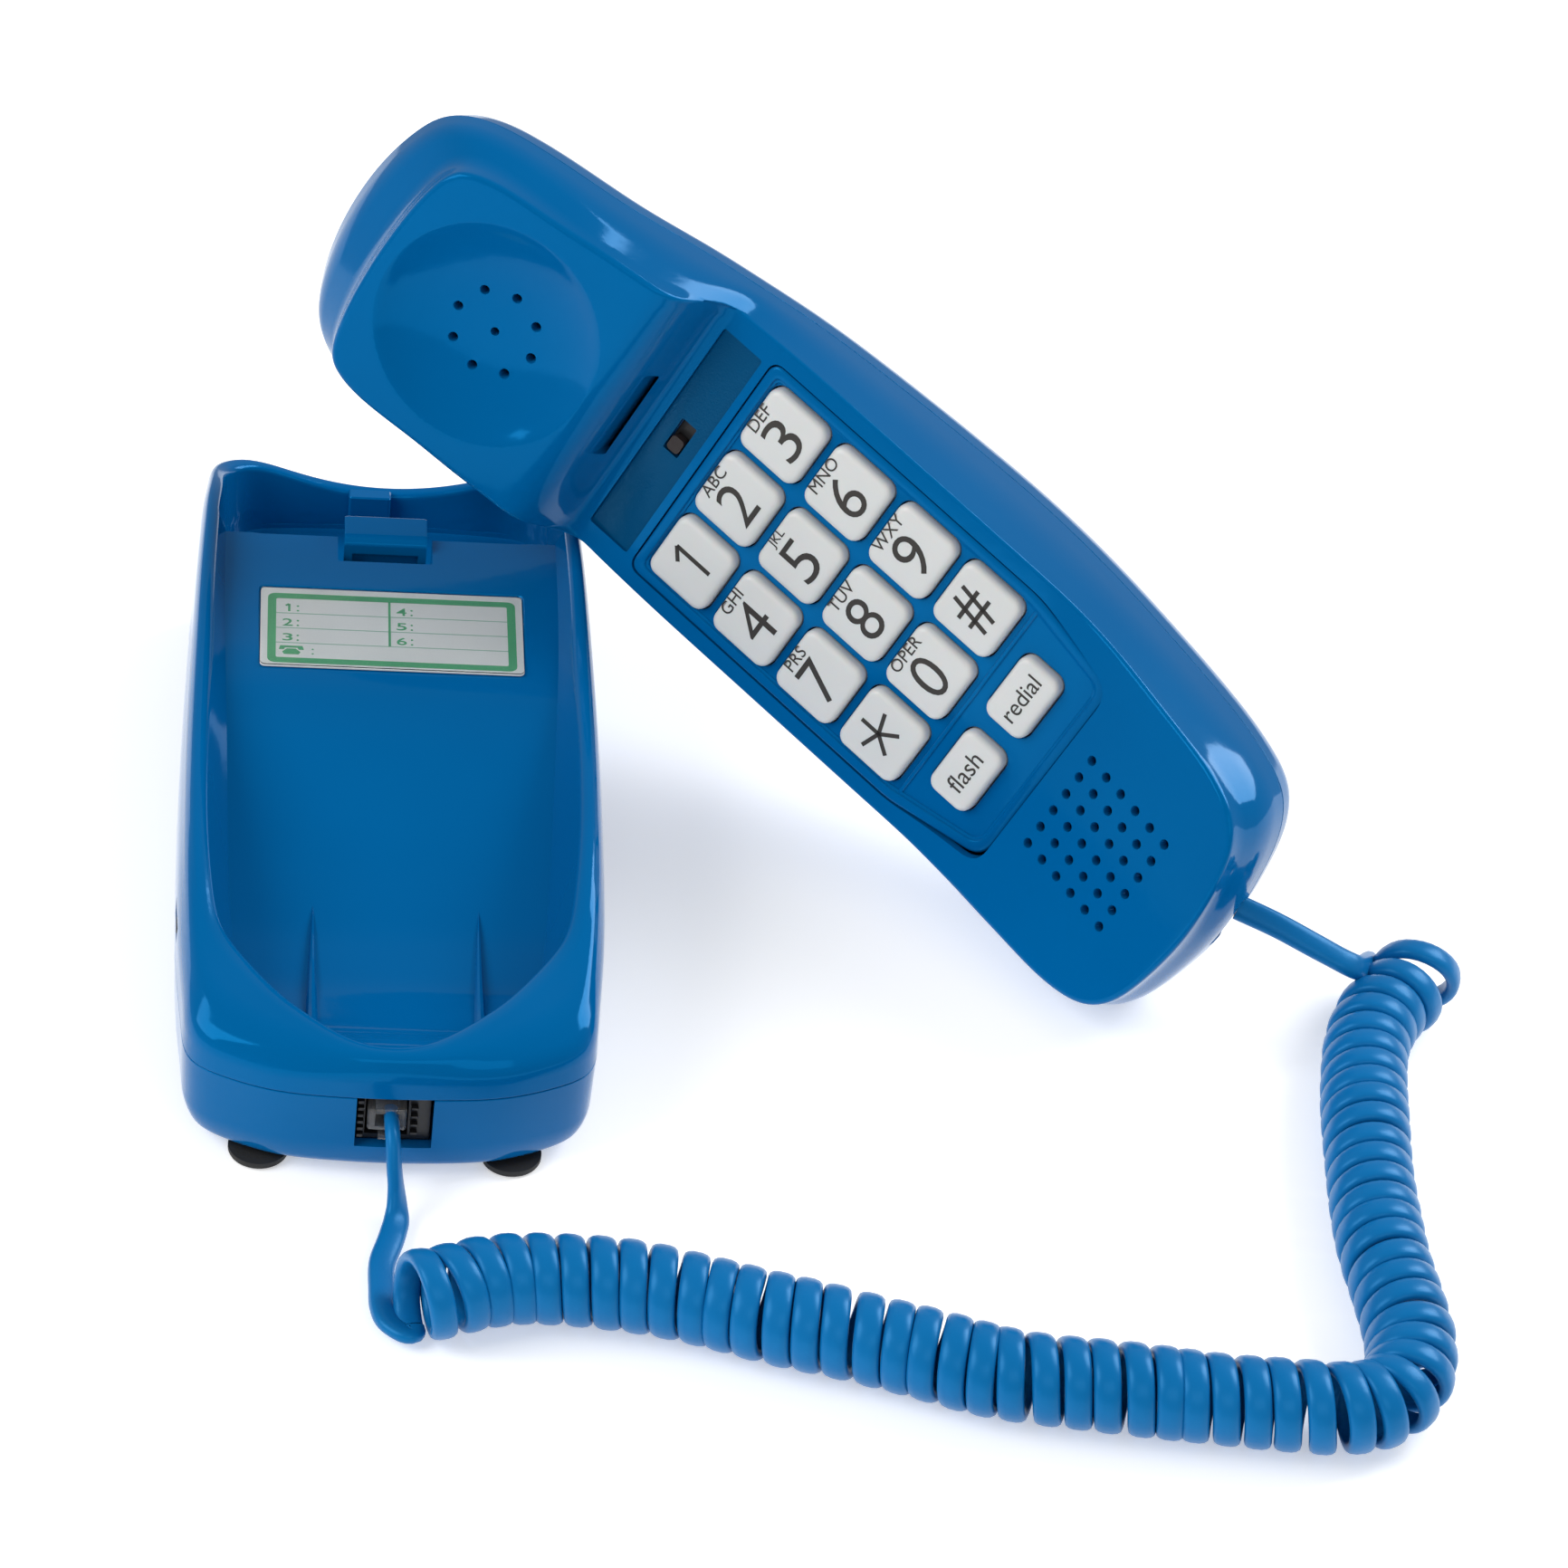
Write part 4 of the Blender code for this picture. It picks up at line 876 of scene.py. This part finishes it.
legends = {"key_" + words[0]: words for words in (
    "1", "2 ABC", "3 DEF", "4 GHI", "5 JKL", "6 MNO", "7 PRS", "8 TUV", "9 WXY", "0 OPER")}


def flatText(words, size, thick=0.05, weight=0.0):
    # Letters as a mesh in millimetres, centred, with size = (width, height), either of which may be None.
    data = bpy.data.curves.new("letters", "FONT")
    data.body, data.extrude, data.offset, data.resolution_u = words, 0.01, weight, 5
    obj = linked("letters", data)
    mesh = bpy.data.meshes.new_from_object(obj.evaluated_get(bpy.context.evaluated_depsgraph_get()))
    points = np.empty(len(mesh.vertices) * 3)
    mesh.vertices.foreach_get("co", points)
    points = points.reshape(-1, 3)
    faces = [tuple(p.vertices) for p in mesh.polygons]
    bpy.data.objects.remove(obj)
    bpy.data.meshes.remove(mesh)
    low, high = points.min(axis=0), points.max(axis=0)
    scale = [s / (h - l) if s else None for s, l, h in zip(size, low, high)]
    scale = [s or next(filter(None, scale)) for s in scale]
    centred = points - (low + high) / 2
    return np.column_stack([centred[:, 0] * scale[0], centred[:, 1] * scale[1],
                            np.sign(centred[:, 2]) * thick / 2]), faces


def stroke(a, b, width, thick=0.05):
    # A straight printed bar from a to b.
    a, b = np.array(a, float), np.array(b, float)
    along = unit(b - a)
    across = np.array([-along[1], along[0]]) * width / 2
    outline = np.array([a - across, b - across, b + across, a + across])
    return prism(outline, -thick / 2, thick / 2)


def oneMark(height, width, thick=0.05, at=(0, 0)):
    # The digit one: an upright stroke with a short flag that falls from its top.
    x, y = at
    foot, top = (x + 0.12 * height, y - height / 2), (x + 0.12 * height, y + height / 2)
    flag = (x - 0.17 * height, y + 0.27 * height)
    return [stroke(foot, top, width, thick), stroke(top, flag, width, thick)]


def legendBodies(name):
    # Printed marks of a key, in (reading direction, up) millimetres about the key's middle.
    if name == "key_star":
        arms = np.radians([90, 90 + 72, 90 + 144, 90 + 216, 90 + 288])
        return [stroke((0, 0.6), (4.7 * math.cos(a), 0.6 + 4.7 * math.sin(a)), 0.9) for a in arms]
    if name == "key_hash":
        bars = [stroke((-3.7, y), (3.7, y), 0.95) for y in (1.9, -1.2)]
        return bars + [stroke((x - 0.8, -4.6), (x + 0.8, 5.2), 0.95) for x in (-1.5, 1.5)]
    if name in ("key_flash", "key_redial"):
        return [flatText(name.split("_")[1], (9.6 if name == "key_flash" else 11.2, None))]
    digit, _, letters = legends[name].partition(" ")
    if digit == "1":
        return oneMark(9.2, 0.95)
    points, faces = flatText(digit, ({"4": 6.5, "0": 6.0}.get(digit, 5.9), 9.4), weight=-0.004)
    small, cells = flatText(letters, (None, 2.7))
    return [(points - (0.2, 0.6, 0), faces), (small + (0, 6.2, 0), cells)]


def makeKeys(facts):
    for name, (u, v, size) in keyPlaces(facts).items():
        def outlineAt(inset, place=(u, v), cap=size):
            corner = max(facts["corner"] - inset, 0.4)
            return roundedBox(cap[0] - 2 * inset, cap[1] - 2 * inset, corner, 7) + place

        profile = [(0.0, -3.2), (0.0, 0.2), (0.08, 0.75), (0.28, 1.2), (0.6, 1.52), (1.0, 1.7), (1.6, 1.78)]
        cap = placed(name.replace("key_", "keyCap."), pillow(outlineAt, profile, 0.04), onHandset, 40)
        finishPiece(cap, "keyWhite", name, "key_white", name)
        bodies = [(np.column_stack([u - body[:, 1], v + body[:, 0], keyProud + 0.035 + body[:, 2]]), cells)
                  for body, cells in legendBodies(name)]
        mark = joined(name.replace("key_", "keyLegend."), bodies, onHandset, 0)
        finishPiece(mark, "keyInk", name, "key_white")


def makeBezel(facts):
    # The keypad frame: a narrow band, a small ridge and a sunk field, with a hole for each key.
    band, field = facts["band"], facts["field"]
    top = facts["bezelTop"]
    profile = [(0.35, -2.6), (0.35, top - 0.35), (0.6, top - 0.08), (0.85, top), (band - 0.3, top),
               (band - 0.05, top - 0.12), (band + 0.15, -0.35), (band + 0.6, -0.42), (band + 0.75, field)]
    frameBody = stacked([(insetWindow(inset), height) for inset, height in profile])
    bezel = placed("keypadBezel", frameBody, onHandset)
    foot, crest = rectangle(36.4, -26.2, 37.3, 26.2, 0.2, 3), rectangle(36.6, -26.1, 37.1, 26.1, 0.15, 3)
    ridge = stacked([(foot, -1.4), (foot, -0.5), (crest, -0.32)])
    boolean(bezel, [placed("ridge", ridge, onHandset)], "UNION")
    cutters = []
    for u, v, size in keyPlaces(facts).values():
        hole = roundedBox(size[0] + 0.7, size[1] + 0.7, facts["corner"] + 0.35, 6) + (u, v)
        wide = roundedBox(size[0] + 1.3, size[1] + 1.3, facts["corner"] + 0.65, 6) + (u, v)
        cutters.append(stacked([(hole, -6), (hole, field - 0.2), (wide, field + 0.12), (wide, 3)]))
    boolean(bezel, [joined("keyHoles", cutters, onHandset, 0)])
    finishPiece(weighted(bezel), "glossyBlue", "handset", "shell_blue", "keypad_bezel")


panelFacts = {"outline": (-50.5, -27.1, -40.1, 27.1), "slot": (-47, -3, -43, 5), "knob": (3.3, 3.6, 0.9),
              "knobAt": (-45, -0.85)}


def makeLabelPanel(facts):
    outline = rectangle(*facts["outline"], 0.6, 4)
    panel = stacked([(outline, -1.4), (outline, -0.62), (outline * 0.997, -0.55)])
    panel = placed("labelPanel", panel, onHandset)
    boolean(panel, [blockCutter(rectangle(*facts["slot"], 0.25), -9, 8)])
    finishPiece(panel, "panelBlue", "handset", "shell_blue", "label_panel")
    middle = np.array(facts["knobAt"])
    full = roundedBox(*facts["knob"], 5) + middle
    knob = stacked([(full, -2.6), (full, -0.9), (full * 0.94 + middle * 0.06, -0.55)])
    finishPiece(placed("volumeKnob", knob, onHandset, 30), "brownPlastic", "volume_switch_knob",
                "black_plastic", "volume_switch_knob")


makeKeys(keyFacts)
makeBezel(keyFacts)
makeLabelPanel(panelFacts)
print("keypad made")

cardFacts = {"width": 54.4, "depth": 26.65, "paperTop": 41.62, "border": 1.75, "margin": 1.45, "shift": -0.45}


def cardPrint(facts):
    # Printed marks of the card, about its middle: bold frame, then thin rules and row numbers.
    w, d = facts["width"] / 2 - facts["margin"], facts["depth"] / 2 - facts["margin"]
    outer = roundedBox(2 * w, 2 * d, 1.6, 5)
    inner = roundedBox(2 * (w - facts["border"]), 2 * (d - facts["border"]), 0.4, 5)
    count = len(outer)
    points = np.vstack([np.column_stack([o, np.full(count, z)]) for o, z in
                        ((outer, 0), (outer, 0.03), (inner, 0.03), (inner, 0))])
    faces = ringFaces(4, count).tolist()
    faces += [(3 * count + i, 3 * count + (i + 1) % count, (i + 1) % count, i) for i in range(count)]
    bold = [(points, faces)]
    w2, d2 = w - facts["border"], d - facts["border"]
    rows = np.linspace(d2, -d2, 5)
    thin = [stroke((-w2, y), (w2, y), 0.22, 0.03) for y in rows[1:4]]
    dark = [stroke((-0.5, d2), (-0.5, rows[3]), 0.5, 0.03)]
    for k in range(3):
        for x, number in ((-w2 + 2.4, str(k + 1)), (2.0, str(k + 4))):
            y = (rows[k] + rows[k + 1]) / 2 - 0.6
            if number == "1":
                dark += oneMark(2.5, 0.5, 0.03, (x, y))
            else:
                letters, cells = flatText(number, (2.1, 2.5), 0.03, 0.01)
                dark.append((letters + (x, y, 0), cells))
            for up in (0.6, -1.0):
                dot = roundedBox(0.5, 0.5, 0.2, 2) + (x + 2.1, y + up)
                dark.append(prism(dot, -0.015, 0.015))
    return bold, thin, dark + telephoneMark(-w2 + 3.2, (rows[3] + rows[4]) / 2)


def telephoneMark(x, y):
    # A small pictogram of an old desk telephone: a body and a handset across the top, with two dots beside
    # it.
    body = np.array([(-1.5, -1.4), (1.5, -1.4), (1.9, -0.6), (0.9, 0.5), (-0.9, 0.5), (-1.9, -0.6)]) + (x, y)
    bar = np.array([(-2.6, 0.2), (-1.5, 0.2), (-1.3, 0.85), (1.3, 0.85), (1.5, 0.2), (2.6, 0.2), (2.3, 1.5),
                    (-2.3, 1.5)])
    bar = roundedPolygon(bar + (x, y), 0.15, 2)
    dots = [roundedBox(0.45, 0.45, 0.2, 2) + (x + 4.4, y + up) for up in (0.5, -1.0)]
    return [prism(outline, -0.015, 0.015) for outline in (body, bar, *dots)]


def makeCard(facts):
    paper = roundedBox(facts["width"], facts["depth"], 1.0, 5) + (0, cardY)
    finishPiece(placed("indexCard", prism(paper, 41.35, facts["paperTop"]), onBase, 30), "cardPaper", "base",
                "card_paper", "index_card")
    bold, thin, dark = cardPrint(facts)
    lift = np.array([0, cardY + facts["shift"], facts["paperTop"] + 0.03])

    def onCard(points):
        return onBase(points + lift)

    for name, marks, ink in (("cardFrame", bold, "cardGreen"), ("cardRules", thin, "paleGreen"),
                             ("cardNumbers", dark, "cardGreen")):
        finishPiece(joined(name, marks, onCard, 0), ink, "base", "card_paper")
    cover = roundedBox(facts["width"] - 0.1, facts["depth"] - 0.1, 1.0, 5) + (0, cardY)
    finishPiece(placed("cardCover", prism(cover, 41.8, 42.02), onBase, 30), "clearCover", "base",
                "clear_cover", "card_cover")


makeCard(cardFacts)
print("card made")

leverFacts = {"x": (-9.9, 7.4), "pivotHeight": 34.6}


def makeLever(facts):
    # The tongue of the lever: an extruded side profile with rounded corners, wider at its foot than
    # at its tip.
    z = facts["pivotHeight"]
    side = roundedPolygon([(128.6, z - 1.5), (152.4, z - 1.5), (154.0, 35.0), (154.0, 41.6), (158.9, 43.6),
                           (158.9, 45.6), (152.4, 45.0), (151.0, 43.9), (151.0, z + 1.5), (128.6, z + 1.5)],
                          [0.5, 0.5, 0.5, 1.0, 0.5, 0.5, 0.8, 0.6, 0.5, 0.5], 5)
    x0, x1 = facts["x"]
    thin = side * 0.985 + side.mean(axis=0) * 0.015
    tongue = sideways([(thin, x0), (side, x0 + 0.5), (side, x1 - 0.5), (thin, x1)])
    lever = placed("hookLever", tongue, onBase)
    hollow = prism(rectangle(x0 + 1.7, 149, x1 - 1.7, 153, 0.3), 36.4, 41.4)
    boolean(lever, [placed("hollow", hollow, onBase)], smooth=40)
    finishPiece(weighted(lever), "glossyBlue", "hook_lever", "shell_blue", "hook_lever")


def makeJacks():
    # Each jack: a black block with its socket cut out, and a row of small ribs beside the socket.
    for name, low, high, socket, node in (
            ("baseJack", (-6.2, 3.2, 8.8), (8.2, 15.4, 20.6), ((-4.65, -2, 10.0), (3.75, 13.8, 19.0)),
             "base_jack"),
            ("lineJack", (-26.7, 171, 8.8), (-12.3, 185.6, 20.6), ((-23.6, 174.6, 10.6), (-15.4, 190, 18.0)),
             "line_jack")):
        block = placed(name, slab(low, high, 0.3), onBase)
        boolean(block, [placed("socket", slab(*socket, 0.2), onBase)])
        finishPiece(block, "blackPlastic", "base", "black_plastic", node)
    ribs = [slab((-6.2, 2.0, z), (-4.9, 3.1, z + 0.7), 0.15) for z in np.arange(10, 19.5, 1.7)]
    ribs += [slab((4.2, 2.0, z), (5.6, 3.1, z + 0.5), 0.15) for z in np.arange(11, 19.0, 2.1)]
    finishPiece(joined("jackRibs", ribs, onBase), "blackPlastic", "base", "black_plastic")
    block = placed("handsetJack", slab((86.4, -4.3, -13.4), (103.0, 7.7, -0.9), 0.4), onHandset)
    boolean(block, [placed("socket", slab((91, -2.6, -12.6), (112, 5.8, -4.4), 0.2), onHandset)])
    finishPiece(block, "glossyBlue", "handset", "shell_blue", "handset_jack")


def makeFeet():
    for name in ("front_left", "front_right", "rear_left", "rear_right"):
        low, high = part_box("foot_" + name)
        centre = (np.array(low) + np.array(high))[:2] / 2
        radius = (high[0] - low[0]) / 2
        layers = [(0.9, 0.0), (0.97, 0.0002), (1.0, 0.0006), (1.0, 0.0016)]
        circle = circlePoints(48)
        points, faces = stacked([(centre + radius * share * circle, height) for share, height in layers])
        finishPiece(newObject("foot." + name, points, faces, 40), "blackRubber", "base", "black_rubber",
                    "foot_" + name)


def makeRingerKnob():
    body = slab((-42.2, 41.5, 25.9), (-38.9, 45.3, 29.1), 0.4)
    grips = [slab((-42.5, y, 26.3), (-41.8, y + 0.5, 28.7), 0.2) for y in (42.2, 43.2, 44.2)]
    finishPiece(joined("ringerKnob", [body, *grips], onBase), "blackPlastic", "ringer_switch_knob",
                "black_plastic", "ringer_switch_knob")


makeLever(leverFacts)
makeJacks()
makeFeet()
makeRingerKnob()
print("small pieces made")


def dressInside():
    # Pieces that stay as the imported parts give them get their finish.
    wanted = {"boardGreen": ["base_circuit_board", "keypad_circuit_board"],
              "blackRubber": ["keypad_rubber_mat"],
              "plateSteel": ["ringer_disc", "hook_spring", "base_screw_1", "base_screw_2", "receiver_capsule",
                             "microphone_capsule", "ballast_weight"],
              "blackPlastic": ["hook_switch", "ringer_switch_body", "volume_switch_body"]}
    for look, names in wanted.items():
        for name in names:
            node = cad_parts[name]
            node.data.materials.clear()
            node.data.materials.append(looks[look])


dressInside()

lightFacts = {
    "world": 0.39, "floor": 0.9, "glow": 0.4, "floorHalf": 0.75,
    "boxes": {"leftBox": ((-1.1, -0.35, 0.95), (0, 0, 0.05), (0.9, 0.9), 12),
              "rightBox": ((1.05, 0.45, 0.95), (0.05, 0, 0.05), (0.8, 0.8), 15),
              "frontBox": ((0.25, -1.5, 1.2), (0, 0, 0.05), (1.2, 0.7), 4)},
}


def areaLight(name, place, aim, size, power):
    data = bpy.data.lights.new(name, "AREA")
    data.shape, data.size, data.size_y, data.energy = "RECTANGLE", size[0], size[1], power
    obj = linked(name, data)
    obj.location = place
    direction = mathutils.Vector(aim) - mathutils.Vector(place)
    obj.rotation_euler = direction.to_track_quat("-Z", "Y").to_euler()


def makeStudio(facts):
    half = facts["floorHalf"]
    corners = [(x * half, y * half, -0.0002) for x, y in ((-1, -1), (1, -1), (1, 1), (-1, 1))]
    floor = newObject("floor", corners, [(0, 1, 2, 3)], 0)
    paper = mouldedPlastic("floorPaper", (facts["floor"],) * 3, (facts["floor"] + 0.01,) * 3, (0.8, 0.9),
                           (300, 0.02, 0.0002),
                           [("Specular IOR Level", 0.1), ("Emission Color", (1, 1, 1, 1)),
                            ("Emission Strength", facts["glow"])])
    floor.data.materials.append(paper)
    world = bpy.data.worlds.new("studio")
    world.use_nodes = True
    world.node_tree.nodes["Background"].inputs["Color"].default_value = (1, 1, 1, 1)
    world.node_tree.nodes["Background"].inputs["Strength"].default_value = facts["world"]
    bpy.context.scene.world = world
    for name, box in facts["boxes"].items():
        areaLight(name, *box)


makeStudio(lightFacts)
bpy.context.scene.view_settings.view_transform = "Standard"
print("scene made")
